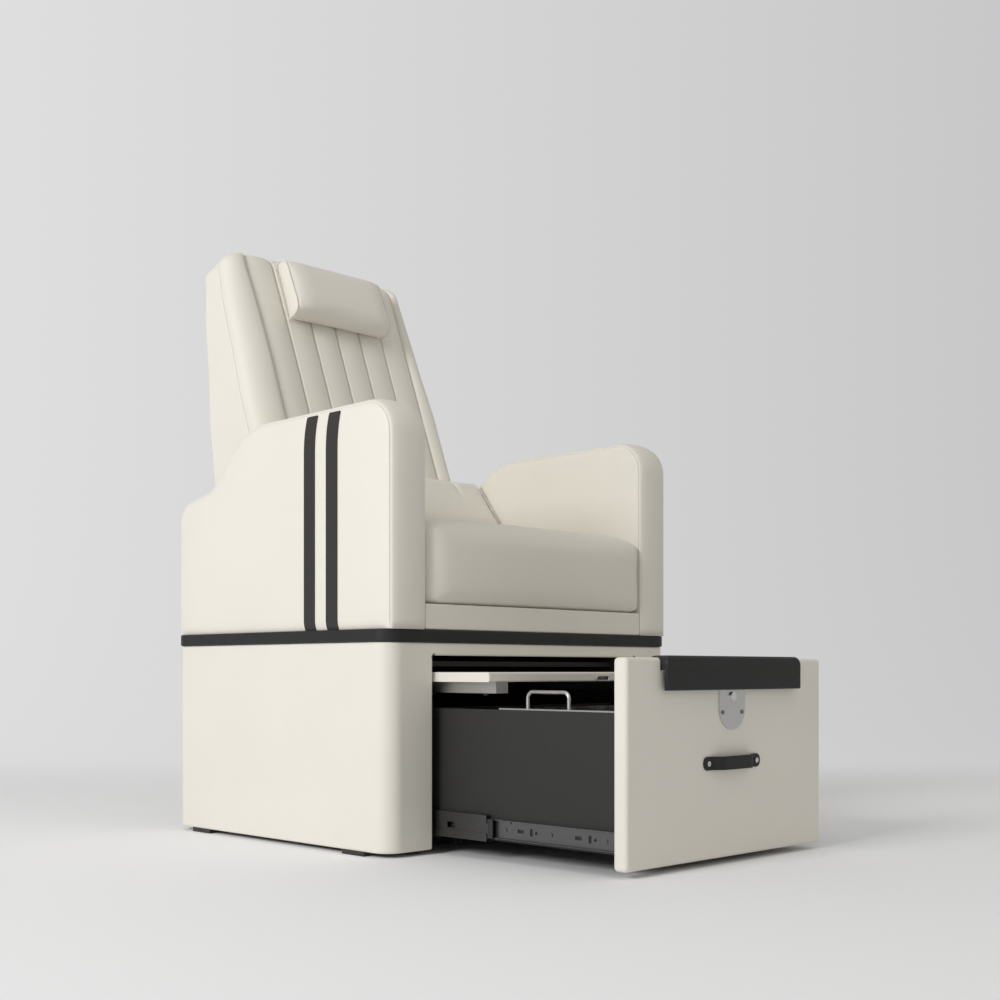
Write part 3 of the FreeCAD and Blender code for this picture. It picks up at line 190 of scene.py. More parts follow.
lamp("side_lamp", Vector((-5.7, -0.42, 2.6)), (1.8, 1.8), 176)
lamp("top_lamp", Vector((-0.4, -1.2, 4.4)), (3.2, 3.2), 14)

# Base cover. Boards wrapped in cream faux leather stand round the drawer space in one skin,
# with round upright corners and softly folded edges, and a cut-out for drawer and shelf.


def undriven(name, colour, tone, sheen_range, bump_strength, bump_depth):
    """A material with two shades, a range of sheen and a bump, and their inputs to drive."""
    material = bpy.data.materials.new(name)
    material.use_nodes = True
    nodes = material.node_tree.nodes
    links = material.node_tree.links
    shader = nodes["Principled BSDF"]
    shades = nodes.new("ShaderNodeMixRGB")
    for shade, share in (("Color1", 1 - tone), ("Color2", 1 + tone)):
        shades.inputs[shade].default_value = (*[min(1, one * share) for one in colour], 1)
    sheen = nodes.new("ShaderNodeMapRange")
    sheen.inputs["To Min"].default_value, sheen.inputs["To Max"].default_value = sheen_range
    bump = nodes.new("ShaderNodeBump")
    bump.inputs["Strength"].default_value = bump_strength
    bump.inputs["Distance"].default_value = bump_depth
    links.new(shades.outputs["Color"], shader.inputs["Base Color"])
    links.new(sheen.outputs["Result"], shader.inputs["Roughness"])
    links.new(bump.outputs["Normal"], shader.inputs["Normal"])
    return material, shades.inputs["Fac"], sheen.inputs["Value"], bump.inputs["Height"]


def noise(material, scale, detail):
    """A cloudy pattern node."""
    pattern = material.node_tree.nodes.new("ShaderNodeTexNoise")
    pattern.inputs["Scale"].default_value = scale
    pattern.inputs["Detail"].default_value = detail
    return pattern


def leather(name, colour, roughness, grain_depth=0.0003, tone=0.03, shine=0.35):
    """Faux leather: fine pebbled grain, faint cloudy tone and a satin skin."""
    material, shade, sheen, height = undriven(
        name, colour, tone, (roughness - 0.05, roughness + 0.07), 0.35, grain_depth)
    nodes = material.node_tree.nodes
    links = material.node_tree.links
    place = nodes.new("ShaderNodeTexCoord")
    cloud = noise(material, 5, 3)
    crease = noise(material, 160, 5)
    pebble = nodes.new("ShaderNodeTexVoronoi")
    pebble.inputs["Scale"].default_value = 900
    grain = nodes.new("ShaderNodeMath")
    grain.operation = "ADD"
    for pattern in (cloud, pebble, crease):
        links.new(place.outputs["Object"], pattern.inputs["Vector"])
    links.new(pebble.outputs["Distance"], grain.inputs[0])
    links.new(crease.outputs["Fac"], grain.inputs[1])
    links.new(cloud.outputs["Fac"], shade)
    links.new(crease.outputs["Fac"], sheen)
    links.new(grain.outputs["Value"], height)
    nodes["Principled BSDF"].inputs["Specular IOR Level"].default_value = shine
    return material


cream_leather = leather("cream_faux_leather", (0.80, 0.767, 0.70), 0.5)


def rounded_face(bm, corners, place):
    """A flat face through corners (a, b, radius), rounded, that place puts in space."""
    verts = [bm.verts.new(place(a, b)) for a, b, radius in corners]
    bm.faces.new(verts)
    for vert, (a, b, radius) in zip(verts, corners):
        if radius:
            ways = [(edge.other_vert(vert).co - vert.co).normalized() for edge in vert.link_edges]
            half_turn = ways[0].angle(ways[1]) / 2
            bmesh.ops.bevel(
                bm, geom=[vert], offset=radius / tan(half_turn), offset_type="OFFSET",
                segments=10, profile=0.5, affect="VERTICES", material=-1)


def thicken(bm, way):
    """Pushes every face of a flat mesh along a way, which makes a closed solid."""
    made = bmesh.ops.extrude_face_region(bm, geom=bm.faces[:])["geom"]
    verts = [item for item in made if isinstance(item, bmesh.types.BMVert)]
    bmesh.ops.translate(bm, verts=verts, vec=way)
    bmesh.ops.recalc_face_normals(bm, faces=bm.faces[:])


def rounded_slab(low, high, radius):
    """A slab between two opposite corners, with its four upright edges round."""
    bm = bmesh.new()
    corners = ((low.x, low.y), (high.x, low.y), (high.x, high.y), (low.x, high.y))
    rounded_face(bm, [(x, y, radius) for x, y in corners], lambda a, b: (a, b, low.z))
    thicken(bm, Vector((0, 0, high.z - low.z)))
    return bm


def round_edges(bm, edges, radius, steps):
    """Rolls the given edges over to a radius."""
    bmesh.ops.bevel(
        bm, geom=edges, offset=radius, offset_type="OFFSET", segments=steps,
        profile=0.5, affect="EDGES", clamp_overlap=True, material=-1)


def cut_at(bm, way, distances):
    """Cuts a mesh across a way at each distance, without opening it."""
    for distance in distances:
        bmesh.ops.bisect_plane(
            bm, geom=bm.verts[:] + bm.edges[:] + bm.faces[:], plane_co=way * distance,
            plane_no=way)


def sharp_edges(bm, angle=40):
    """The edges where two faces meet at more than an angle in degrees."""
    return [edge for edge in bm.edges if len(edge.link_faces) == 2
            and edge.calc_face_angle(0) > radians(angle)]


def shown(name, data, body, material):
    """Puts a finished mesh in the scene as a smooth piece that rides on a body."""
    data.polygons.foreach_set("use_smooth", [True] * len(data.polygons))
    data.materials.clear()
    data.materials.append(material)
    obj = bpy.data.objects.new(name, data)
    scene.collection.objects.link(obj)
    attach(obj, body)
    return obj


def piece(bm, name, body, material, replaced):
    """Turns a bmesh into a piece that stands for its CAD nodes."""
    data = bpy.data.meshes.new(name)
    bm.to_mesh(data)
    bm.free()
    obj = shown(name, data, body, material)
    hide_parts(*replaced)
    return obj


def rolled_edges(obj, radius, steps):
    """Rounds every sharp edge of a finished board or strap."""
    fold = obj.modifiers.new("rolled_edges", "BEVEL")
    fold.width = radius
    fold.segments = steps
    fold.limit_method = "ANGLE"
    fold.angle_limit = radians(50)
    return fold


def even_normals(obj):
    """Keeps big flat faces flat-looking beside their rounded edges."""
    obj.modifiers.new("even_normals", "WEIGHTED_NORMAL").keep_sharp = True


side_low, side_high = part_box("base_side_left")
header_low, header_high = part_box("base_front_header")
base_half = -side_low.x
base_front, base_rear = side_low.y, side_high.y
base_corner_radius = 0.035
base_skin = 0.018
base_edge_radius = 0.004
opening_half = header_high.x
opening_top = header_low.z
opening_radius = 0.006
base_mesh = rounded_slab(
    side_low, Vector((base_half, base_rear, side_high.z)), base_corner_radius)
flats = [face for face in base_mesh.faces if abs(face.normal.z) > 0.9]
bmesh.ops.delete(base_mesh, geom=flats, context="FACES_ONLY")
for inset in (0, opening_radius):
    cut_at(base_mesh, Vector((1, 0, 0)), (inset - opening_half, opening_half - inset))
    cut_at(base_mesh, Vector((0, 0, 1)), (opening_top - inset,))
cut_out = []
for face in base_mesh.faces:
    middle = face.calc_center_median()
    side_gap = opening_half - abs(middle.x)
    top_gap = opening_top - middle.z
    if middle.y < base_front + base_skin and min(side_gap, top_gap) > 0:
        if max(side_gap, top_gap) > opening_radius:
            cut_out.append(face)
bmesh.ops.delete(base_mesh, geom=cut_out, context="FACES")


def in_corner(round_at, side):
    """The faces of the square in which one corner of the opening is rounded."""
    found = []
    for face in base_mesh.faces:
        middle = face.calc_center_median()
        if middle.y < base_front + base_skin and 0 < middle.z - round_at.z < opening_radius:
            if 0 < side * (middle.x - round_at.x) < opening_radius:
                found.append(face)
    return found


for side in (-1, 1):
    round_at = Vector((side * (opening_half - opening_radius), 0, opening_top - opening_radius))
    tangents = []
    for step in range(1, 6, 2):
        way = Vector((side * sin(pi / 12 * step), 0, cos(pi / 12 * step)))
        tangents.append((round_at + way * opening_radius, way))
    for plane_at, plane_way in tangents:
        cut = in_corner(round_at, side)
        cut += {edge for face in cut for edge in face.edges} | {
            vert for face in cut for vert in face.verts}
        bmesh.ops.bisect_plane(base_mesh, geom=cut, plane_co=plane_at, plane_no=plane_way)
    inside = []
    for face in in_corner(round_at, side):
        middle = face.calc_center_median()
        if all((middle - plane_at).dot(plane_way) < 0 for plane_at, plane_way in tangents):
            inside.append(face)
    bmesh.ops.delete(base_mesh, geom=inside, context="FACES")
bmesh.ops.recalc_face_normals(base_mesh, faces=base_mesh.faces[:])
base_cover = piece(
    base_mesh, "base_cover", "chair", cream_leather,
    ("base_side_left", "base_side_right", "base_front_header", "base_rear_panel"))
skin = base_cover.modifiers.new("board", "SOLIDIFY")
skin.thickness = base_skin
skin.offset = -1
fold = rolled_edges(base_cover, base_edge_radius, 4)
fold.use_clamp_overlap = False
even_normals(base_cover)

# Belt. A thick board wrapped in black faux leather lies between base and seat and stands
# a little proud all round, with softly rounded edges.
black_leather = leather("black_faux_leather", (0.022, 0.022, 0.023), 0.5, 0.0002, 0.03, 0.25)
belt_low, belt_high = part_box("belt_board")
belt_corner_radius = base_corner_radius + base_front - belt_low.y
belt_edge_radius = 0.003
belt_mesh = rounded_slab(belt_low, belt_high, belt_corner_radius)
round_edges(belt_mesh, sharp_edges(belt_mesh), belt_edge_radius, 4)
belt = piece(belt_mesh, "belt", "chair", black_leather, ("belt_board",))
even_normals(belt)
belt_top = belt_high.z

# Apron. A low rail under the seat cushion between the arms, covered in the cream leather,
# with its upper edge rolled over the rail.
apron_low, apron_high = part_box("seat_front_rail")
apron_edge_radius = 0.003


def block(low, high):
    """A square-edged block between two opposite corners."""
    bm = bmesh.new()
    bmesh.ops.create_cube(bm, size=1)
    bmesh.ops.scale(bm, verts=bm.verts, vec=high - low)
    bmesh.ops.translate(bm, verts=bm.verts, vec=(low + high) / 2)
    return bm


apron_mesh = block(apron_low, apron_high)
round_edges(apron_mesh, sharp_edges(apron_mesh), apron_edge_radius, 4)
apron = piece(
    apron_mesh, "apron", "chair", cream_leather, ("seat_front_rail",))
even_normals(apron)

# Arms. Each is a timber frame under foam and cream leather. Two soft side panels are sewn to one
# long strip that runs up the front, over the top and down behind, and the seams are pulled in.
arm_set_back = 0.0026
arm_front = base_front + arm_set_back
arm_rear = base_rear - arm_set_back
arm_head = 0.7768
arm_seam_out = 0.3692
arm_seam_in = 0.2900
arm_outer_swell = 0.0092
arm_inner_swell = 0.0035
arm_swell_reach = 0.080
arm_strip_lift = 0.0079
arm_foot_draw = 0.004
arm_foot_reach = 0.018
arm_foot_fade = 0.03
strip_power = 2.1
seam_draw = 0.0019
seam_reach = 0.0012
arm_cell = 0.015
arm_rings = (0.0012, 0.0025, 0.006)
arm_columns = (0.0005, 0.0014, 0.003, 0.0055, 0.009, 0.014, 0.021, 0.030)
on_seam = 1e-5
arm_outline = [
    (arm_front, belt_top, 0),
    (arm_front, arm_head, 0.0577),
    (base_front + 0.410, 0.7742, 0.120),
    (base_front + 0.538, 0.6655, 0.060),
    (arm_rear, 0.6430, 0.040),
    (arm_rear, belt_top, 0),
]


def even_steps(start, end, step):
    """Distances that part a length into even cells."""
    count = max(1, round((end - start) / step))
    return [start + (end - start) * index / count for index in range(1, count)]


def eased(distance, reach, power=2.5):
    """How far a stuffed skin has risen at a distance from its seam, from 0 to 1."""
    return 1 - (1 - min(1, max(0, distance / reach))) ** power


def rim_of(face):
    """The rim of an arm's flat outline above the belt, as runs with their outward ways."""
    loop = [Vector(vert.co.yz) for vert in face.verts]
    pairs = list(zip(loop, loop[1:] + loop[:1]))
    turn = 1 if sum(start.x * end.y - end.x * start.y for start, end in pairs) > 0 else -1
    runs = []
    for start, end in pairs:
        way = end - start
        if max(start.y, end.y) > belt_top + 1e-6 and way.length > 1e-7:
            runs.append((start, end, Vector((way.y, -way.x)).normalized() * turn))
    rim = []
    for index, (start, end, out) in enumerate(runs):
        before = runs[index - 1]
        after = runs[(index + 1) % len(runs)]
        at_start = at_end = out
        if (before[1] - start).length < 1e-6 and before[2].dot(out) > 0.9:
            at_start = (out + before[2]).normalized()
        if (after[0] - end).length < 1e-6 and after[2].dot(out) > 0.9:
            at_end = (out + after[2]).normalized()
        rim.append((start, end, at_start, at_end))
    return rim


def rim_near(place):
    """Distance from a place to the arm's rim, and the rim's outward way there."""
    best = None
    for start, end, at_start, at_end in arm_rim:
        run = end - start
        share = min(1, max(0, (place - start).dot(run) / run.length_squared))
        distance = (start + run * share - place).length
        if best is None or distance < best[0]:
            best = (distance, at_start.lerp(at_end, share).normalized())
    return best


def strip_rise(distance, half, lift):
    """How far a sewn strip stands out at a distance from its seam."""
    inward = 1 - min(1, max(0, distance / half))
    return lift * max(0, 1 - inward ** strip_power) ** (1 / strip_power)


def drawn(distance):
    """How deep the pulled stitches hold the leather at a distance from a seam."""
    return seam_draw * exp(-distance / seam_reach)


outline_mesh = bmesh.new()
rounded_face(outline_mesh, arm_outline, lambda a, b: (0, a, b))
arm_rim = rim_of(outline_mesh.faces[:][0])
outline_mesh.free()
thread_radius = 0.0008
# The stitch cord is real, but its colour, about half as bright as the cream leather, is painted
# shade at the bottom of the seams.
painted_shade_thread = leather("seam_thread_painted_shade", (0.42, 0.39, 0.33), 0.7, 0.0001)


def outer_panel(y, z):
    """How far an arm's outer panel stands out from its seams at a place on it."""
    distance = rim_near(Vector((y, z)))[0]
    rise = arm_outer_swell * eased(distance, arm_swell_reach)
    foot = arm_foot_draw * (1 - eased(z - belt_top, arm_foot_reach, 2))
    return rise - foot * eased(distance, arm_foot_fade)


def make_arm(name, side, replaced):
    """One arm, at -X for side -1 and at +X for side 1."""
    bm = bmesh.new()
    outer_x = side * arm_seam_out
    inner_x = side * arm_seam_in
    half = (arm_seam_out - arm_seam_in) / 2
    rounded_face(bm, arm_outline, lambda a, b: (outer_x, a, b))
    thicken(bm, Vector((inner_x - outer_x, 0, 0)))
    for face in [one for one in bm.faces if abs(one.normal.x) > 0.9]:
        for ring in arm_rings:
            bmesh.ops.inset_region(bm, faces=[face], thickness=ring, use_even_offset=False)
    cut_at(bm, Vector((0, 1, 0)), even_steps(arm_front, arm_rear, arm_cell))
    cut_at(bm, Vector((0, 0, 1)), even_steps(belt_top, arm_head, arm_cell))
    cuts = [arm_seam_in + column for column in arm_columns]
    cuts += [arm_seam_out - column for column in arm_columns]
    cuts.append((arm_seam_in + arm_seam_out) / 2)
    cut_at(bm, Vector((side, 0, 0)), cuts)
    seam_edges = []
    for edge in bm.edges:
        first, last = (vert.co for vert in edge.verts)
        at_panel = min(abs(first.x - outer_x), abs(first.x - inner_x)) < on_seam
        if at_panel and abs(first.x - last.x) < on_seam:
            if max(rim_near(Vector(end.yz))[0] for end in (first, last)) < on_seam:
                seam_edges.append(edge)
    for vert in bm.verts:
        place = Vector(vert.co.yz)
        distance, way = rim_near(place)
        at_outer = abs(vert.co.x - outer_x) < on_seam
        at_inner = abs(vert.co.x - inner_x) < on_seam
        if distance < on_seam:
            beside = min(abs(vert.co.x - outer_x), abs(vert.co.x - inner_x))
            rise = strip_rise(beside, half, arm_strip_lift) - drawn(beside)
            vert.co.y += way.x * rise
            vert.co.z += way.y * rise
            vert.co.x += side * seam_draw * (at_inner - at_outer)
        elif at_outer:
            vert.co.x += side * (outer_panel(place.x, place.y) - drawn(distance))
        elif at_inner:
            rise = arm_inner_swell * eased(distance, arm_swell_reach)
            vert.co.x -= side * (rise - drawn(distance))
    for edge in seam_edges:
        edge.smooth = False
    obj = piece(bm, name, "chair", cream_leather, replaced)
    even_normals(obj)


def tube(name, points, radius, body, material, closed=False):
    """A round cord of leather or wire along points, as a mesh."""
    curve = bpy.data.curves.new(name, "CURVE")
    curve.dimensions = "3D"
    curve.bevel_depth = radius
    curve.bevel_resolution = 2
    curve.use_fill_caps = not closed
    spline = curve.splines.new("POLY")
    spline.points.add(len(points) - 1)
    for point, place in zip(spline.points, points):
        point.co = (*place, 1)
    spline.use_cyclic_u = closed
    holder = bpy.data.objects.new(name, curve)
    scene.collection.objects.link(holder)
    bpy.context.view_layer.update()
    ready = holder.evaluated_get(bpy.context.evaluated_depsgraph_get())
    data = bpy.data.meshes.new_from_object(ready)
    bpy.data.objects.remove(holder)
    data.name = name
    shown(name, data, body, material)


def lay_thread(name, points, body):
    """The pulled stitch line that shows at the bottom of a seam, in a colour darkened as painted
    shade.
    """
    tube(name, points, thread_radius, body, painted_shade_thread)


def arm_thread(name, side, seam_x, inward):
    """The stitch line of one of an arm's two rim seams."""
    x = side * (seam_x + inward * seam_draw)
    places = [start - at_start * seam_draw for start, end, at_start, at_end in arm_rim]
    places.append(arm_rim[-1][1] - arm_rim[-1][3] * seam_draw)
    lay_thread(name, [Vector((x, place.x, place.y)) for place in places], "chair")


for side, arm in ((-1, "arm_left"), (1, "arm_right")):
    make_arm(arm + "_cover", side, (arm, arm + "_facing"))
    arm_thread(arm + "_outer_thread", side, arm_seam_out, -1)
    arm_thread(arm + "_inner_thread", side, arm_seam_in, 1)

# Arm stripes. Two black leather bands are sewn on the outer panel of each arm, from the belt
# up to just under the rim seam, and follow its swell.
stripe_spans = ((0.1315, 0.1635), (0.1955, 0.2270))
stripe_thickness = 0.0012
stripe_head_gap = 0.0060
stripe_corner = 0.003
stripe_edge = 0.00054
stripe_stand = 0.0002
band_leather = leather("black_band_leather", (0.032, 0.031, 0.030), 0.5, 0.0002, 0.03, 0.3)


def make_stripes(name, side, replaced):
    """Both bands of one arm, laid on the outer panel as a strip and thickened."""
    bm = bmesh.new()
    for start, end in stripe_spans:
        middle = base_front + (start + end) / 2
        head = arm_head - stripe_head_gap
        made = bmesh.ops.create_grid(bm, x_segments=80, y_segments=8, size=0.5)["verts"]
        for vert in made:
            share = 1 - (0.5 - vert.co.x) ** 1.6
            z = belt_top + (head - belt_top) * share
            short = max(0, stripe_corner - (head - z))
            half = (end - start) / 2 - stripe_corner
            half += sqrt(max(0, stripe_corner ** 2 - short ** 2))
            y = middle + vert.co.y * 2 * half
            x = arm_seam_out + outer_panel(y, z) + stripe_stand
            vert.co = (side * x, y, z)
    bmesh.ops.recalc_face_normals(bm, faces=bm.faces[:])
    wrong = [face for face in bm.faces if face.normal.x * side < 0]
    bmesh.ops.reverse_faces(bm, faces=wrong)
    obj = piece(bm, name, "chair", band_leather, replaced)
    band = obj.modifiers.new("band", "SOLIDIFY")
    band.thickness = stripe_thickness
    band.offset = 1
    rolled_edges(obj, stripe_edge, 3)
    even_normals(obj)


for side, arm in ((-1, "arm_left"), (1, "arm_right")):
    make_stripes(arm + "_bands", side, (arm + "_stripes",))

# Seat cushion. A loose block of firm foam in a cream leather cover fills the space between the
# arms; it lies on the webbing, its front is nearly flat and its top edges are rolled.
seat_low = apron_high.z
seat_top = seat_low + 0.1480
seat_half = 0.2872
seat_front = apron_low.y - 0.004
seat_rear = apron_low.y + 0.425
seat_roll = 0.030
seat_foot_roll = 0.008
seat_right_roll = 0.010
seat_belly = 0.004
seat_crown = 0.006
seat_clear = 0.0005
seat_room = (-0.2885, 0.2895)
soft_cell = 0.006


def baked(obj):
    """Puts an object's modifiers into its mesh."""
    bpy.context.view_layer.update()
    ready = obj.evaluated_get(bpy.context.evaluated_depsgraph_get())
    data = bpy.data.meshes.new_from_object(ready)
    old = obj.data
    obj.modifiers.clear()
    obj.data = data
    data.name = old.name
    bpy.data.meshes.remove(old)


def even_skin(obj, cell):
    """Gives a closed form a skin of even cells, ready for the cloth solver."""
    skin = obj.modifiers.new("even_skin", "REMESH")
    skin.mode = "VOXEL"
    skin.voxel_size = cell
    skin.use_smooth_shade = True
    baked(obj)


def mesh_places(obj):
    """The places of a mesh's points as an array of rows."""
    places = np.empty(len(obj.data.vertices) * 3, dtype=np.float32)
    obj.data.vertices.foreach_get("co", places)
    return places.reshape(-1, 3)


def set_places(obj, places):
    """Writes an array of rows back as the mesh's points."""
    obj.data.vertices.foreach_set("co", places.astype(np.float32).ravel())
    obj.data.update()


def blow_up(obj, pressure, cap, frames=20):
    """Fills a leather skin with the cloth solver, and holds each point's move to a cap."""
    before = mesh_places(obj)
    cloth = obj.modifiers.new("filling", "CLOTH")
    cloth.settings.use_pressure = True
    cloth.settings.uniform_pressure_force = pressure
    cloth.settings.effector_weights.gravity = 0
    cloth.settings.tension_stiffness = 15
    cloth.settings.compression_stiffness = 15
    cloth.settings.bending_stiffness = 0.5
    for number in range(1, frames + 1):
        scene.frame_set(number)
    ready = obj.evaluated_get(bpy.context.evaluated_depsgraph_get())
    after = np.empty(len(before) * 3, dtype=np.float32)
    ready.data.vertices.foreach_get("co", after)
    way = after.reshape(-1, 3) - before
    reach = np.maximum(np.linalg.norm(way, axis=1, keepdims=True), 1e-9)
    obj.modifiers.remove(cloth)
    scene.frame_set(1)
    set_places(obj, before + way * (np.tanh(reach / cap) * cap / reach))


def relaxed(obj, rounds):
    """Lets the leather settle, so that no ripple of the solver is left in it."""
    ease = obj.modifiers.new("settled", "SMOOTH")
    ease.factor = 0.5
    ease.iterations = rounds
    baked(obj)


def finer(obj):
    """One smooth subdivision."""
    detail = obj.modifiers.new("fine_skin", "SUBSURF")
    detail.levels = 1
    detail.render_levels = 1


seat_mesh = block(
    Vector((-seat_half, seat_front, seat_low + seat_clear)),
    Vector((seat_half + 0.001, seat_rear, seat_top)))
upper = []
for edge in seat_mesh.edges:
    ends = [vert.co for vert in edge.verts]
    right_corner = min(end.x for end in ends) > 0 and abs(ends[0].z - ends[1].z) > 0.01
    if max(end.z for end in ends) > seat_low + 0.01 and not right_corner:
        upper.append(edge)
round_edges(seat_mesh, upper, seat_roll, 7)
right = [edge for edge in sharp_edges(seat_mesh)
         if abs(edge.verts[0].co.z - edge.verts[1].co.z) > 0.05]
round_edges(seat_mesh, right, seat_right_roll, 4)
foot = [edge for edge in sharp_edges(seat_mesh)
        if max(vert.co.z for vert in edge.verts) < seat_low + 0.01]
round_edges(seat_mesh, foot, seat_foot_roll, 4)
seat_cover = piece(
    seat_mesh, "seat_cushion_cover", "chair", cream_leather,
    ("seat_cushion",))
even_skin(seat_cover, soft_cell)
blow_up(seat_cover, 2, 0.0025, 12)
relaxed(seat_cover, 12)
places = mesh_places(seat_cover)
beside = np.clip(1 - (places[:, 0] / seat_half) ** 4, 0, 1)
height = np.clip((places[:, 2] - seat_low) / (seat_top - seat_low), 0, 1)
inward = np.clip((places[:, 1] - seat_front) / (seat_rear - seat_front), 0, 1)
places[:, 1] -= seat_belly * beside * 4 * height * (1 - height) * (1 - inward) ** 6
places[:, 2] += seat_crown * beside * height ** 4 * (0.8 + 0.2 * np.sin(pi * inward))
places[:, 2] = np.maximum(places[:, 2], seat_low + seat_clear)
places[:, 0] = np.clip(places[:, 0], *seat_room)
set_places(seat_cover, places)
finer(seat_cover)

# Back. Every size is measured up the leaning plane in which the shell behind meets the pad
# in front, and out from it towards the sitter.
back_lean = radians(20.5)
back_seam = Vector((0, base_front + 0.577, 0.804))
back_up = Vector((0, sin(back_lean), cos(back_lean)))
back_out = Vector((0, -cos(back_lean), sin(back_lean)))
back_below = -0.272
back_above = 0.426
back_corner = 0.048
back_front_corner = 0.070
back_roll_start = back_above - back_corner
back_roll_power = 0.68
back_heights = (-0.30, 0.083, 0.190, 0.250, 0.310, 0.378)
back_halves = (0.256, 0.256, 0.248, 0.2455, 0.242, 0.233)
back_left_extra = (0, 0, 0.002, 0.003, 0.0045, 0.006)
back_rows = 110
back_roll_rows = 20
seam_columns = (0, 0.0005, 0.0012, 0.0022, 0.0036, 0.006)


def back_place(x, out, up):
    """A place on the back, from its width, its height up the seam plane and its depth."""
    return Vector((x, 0, 0)) + back_seam + back_up * up + back_out * out


def half_at(up, side=1):
    """The back's reach to one side at a height; it reaches a little further to its left."""
    half = float(np.interp(up, back_heights, back_halves))
    return half + (float(np.interp(up, back_heights, back_left_extra)) if side < 0 else 0)


def rolled_row(row, low):
    """Height and turn of a row of a back piece: straight up first, then rolled over the top."""
    if row <= back_rows:
        return low + (back_roll_start - low) * row / back_rows, 0
    turn = pi / 2 * (row - back_rows) / back_roll_rows
    return back_roll_start + back_corner * sin(turn) ** back_roll_power, turn


def back_form(name, low, line_at, replaced):
    """A piece of the back, from the line (x, out) that it has at each height."""
    bm = bmesh.new()
    columns = len(line_at(0)) - 1
    rows = back_rows + back_roll_rows
    made = bmesh.ops.create_grid(bm, x_segments=columns, y_segments=rows, size=0.5)["verts"]
    lines = {}
    foot_ends = []
    for vert in made:
        column = round((vert.co.x + 0.5) * columns)
        row = round((vert.co.y + 0.5) * rows)
        up, turn = rolled_row(row, low)
        if row not in lines:
            lines[row] = line_at(min(up, back_roll_start))
        x, out = lines[row][column]
        side = 1 if x > 0 else -1
        corner = half_at(back_roll_start, side) - back_front_corner
        shrink = cos(turn) ** back_roll_power if turn < pi / 2 - 1e-6 else 0
        if turn and abs(x) > corner:
            x = (corner + (abs(x) - corner) * cos(turn)) * side
        vert.co = back_place(x, out * shrink, up)
        if row == 0 and column in (0, columns):
            foot_ends.append(vert)
    rim = [edge for edge in bm.edges if edge.is_boundary]
    rim += bmesh.ops.contextual_create(bm, geom=foot_ends)["edges"]
    bmesh.ops.edgenet_fill(bm, edges=rim)
    bmesh.ops.recalc_face_normals(bm, faces=bm.faces[:])
    for edge in sharp_edges(bm, 60):
        edge.smooth = False
    for edge in rim:
        edge.smooth = False
    return piece(bm, name, "backrest", cream_leather, replaced)


# Back shell. A hard shell under thin foam and cream leather closes the back from behind. It
# is deep at the foot, thin at the head, and its rear edges are rolled.
shell_heights = (-0.292, -0.2125, -0.195, -0.0505, 0.3965, 0.42)
shell_depths = (0.0, 0.150, 0.161, 0.1560, 0.0555, 0.0555)
shell_roll = 0.012
shell_roll_share = 0.75


def shell_side(up, side):
    """Places (distance across, out) from a side seam of the shell round to its middle."""
    half = half_at(up, side)
    depth = max(0.002, float(np.interp(up, shell_heights, shell_depths)))
    roll = min(shell_roll, depth * shell_roll_share)
    line = []
    for out in seam_columns:
        share = min(out, depth - roll)
        line.append((half - drawn(out), -share))
    for step in range(1, 6):
        line.append((half, -seam_columns[-1] - (depth - roll - seam_columns[-1]) * step / 6))
    for step in range(10):
        turn = pi / 2 * step / 9
        line.append((half - roll * (1 - cos(turn)), -(depth - roll + roll * sin(turn))))
    return line + [((half - roll) * (1 - step / 8), -depth) for step in range(1, 9)]


def shell_line(up):
    """Places across the shell at a height, from its left seam round behind to its right one."""
    left = [(-x, out) for x, out in shell_side(up, -1)]
    return left + list(reversed(shell_side(up, 1)[:-1]))


back_form("back_shell_cover", -0.288, shell_line, ("back_shell",))

# Back pad. Foam bolsters down both sides and six sewn channels between them, in one cream
# leather cover that rolls over the top of the shell and is sewn to it in a fine seam.
channel_count = 6
channel_width = 0.0652
channel_start = -0.183
channel_crest = 0.0435
channel_fall = 0.0044
channel_lean = 0.005
groove_depth = 0.0066
groove_reach = 0.0013
ridge_height = 0.0008
ridge_place = 0.0036
ridge_reach = 0.0015
fan_share = 0.045
fan_from = 0.06
bolster_crest = 0.0460
bolster_side = 0.011
bolster_round_left = 0.056
bolster_round_right = 0.022
bolster_least = 0.012
bolster_shares = (0.15, 0.3, 0.45, 0.6, 0.72, 0.81, 0.88, 0.93, 0.965, 0.985, 1)
channel_shares = (0, 0.010, 0.022, 0.04, 0.065, 0.10, 0.16, 0.25, 0.37, 0.5)


def groove(distance):
    """How deep the leather is pulled in at a distance from a channel seam."""
    return groove_depth * exp(-abs(distance) / groove_reach)


def bolster_line(half, edge, radius, lean=0):
    """Places (distance across, out) from the pad's seam over a bolster to its first groove."""
    line = [(half - drawn(out), out) for out in seam_columns]
    for step in range(1, 4):
        line.append((half, seam_columns[-1] + (bolster_side - seam_columns[-1]) * step / 4))
    crest = bolster_crest - lean
    rise = crest - bolster_side
    radius = min(radius, half - edge - bolster_least)
    for step in range(12):
        turn = pi / 2 * step / 11
        line.append((half - radius * (1 - cos(turn)), bolster_side + rise * sin(turn)))
    crest_x = half - radius
    for share in bolster_shares:
        x = crest_x + (edge - crest_x) * share
        fall = (bolster_crest - channel_crest + channel_fall) * share ** 2.4
        line.append((x, crest - fall - groove(x - edge)))
    return line


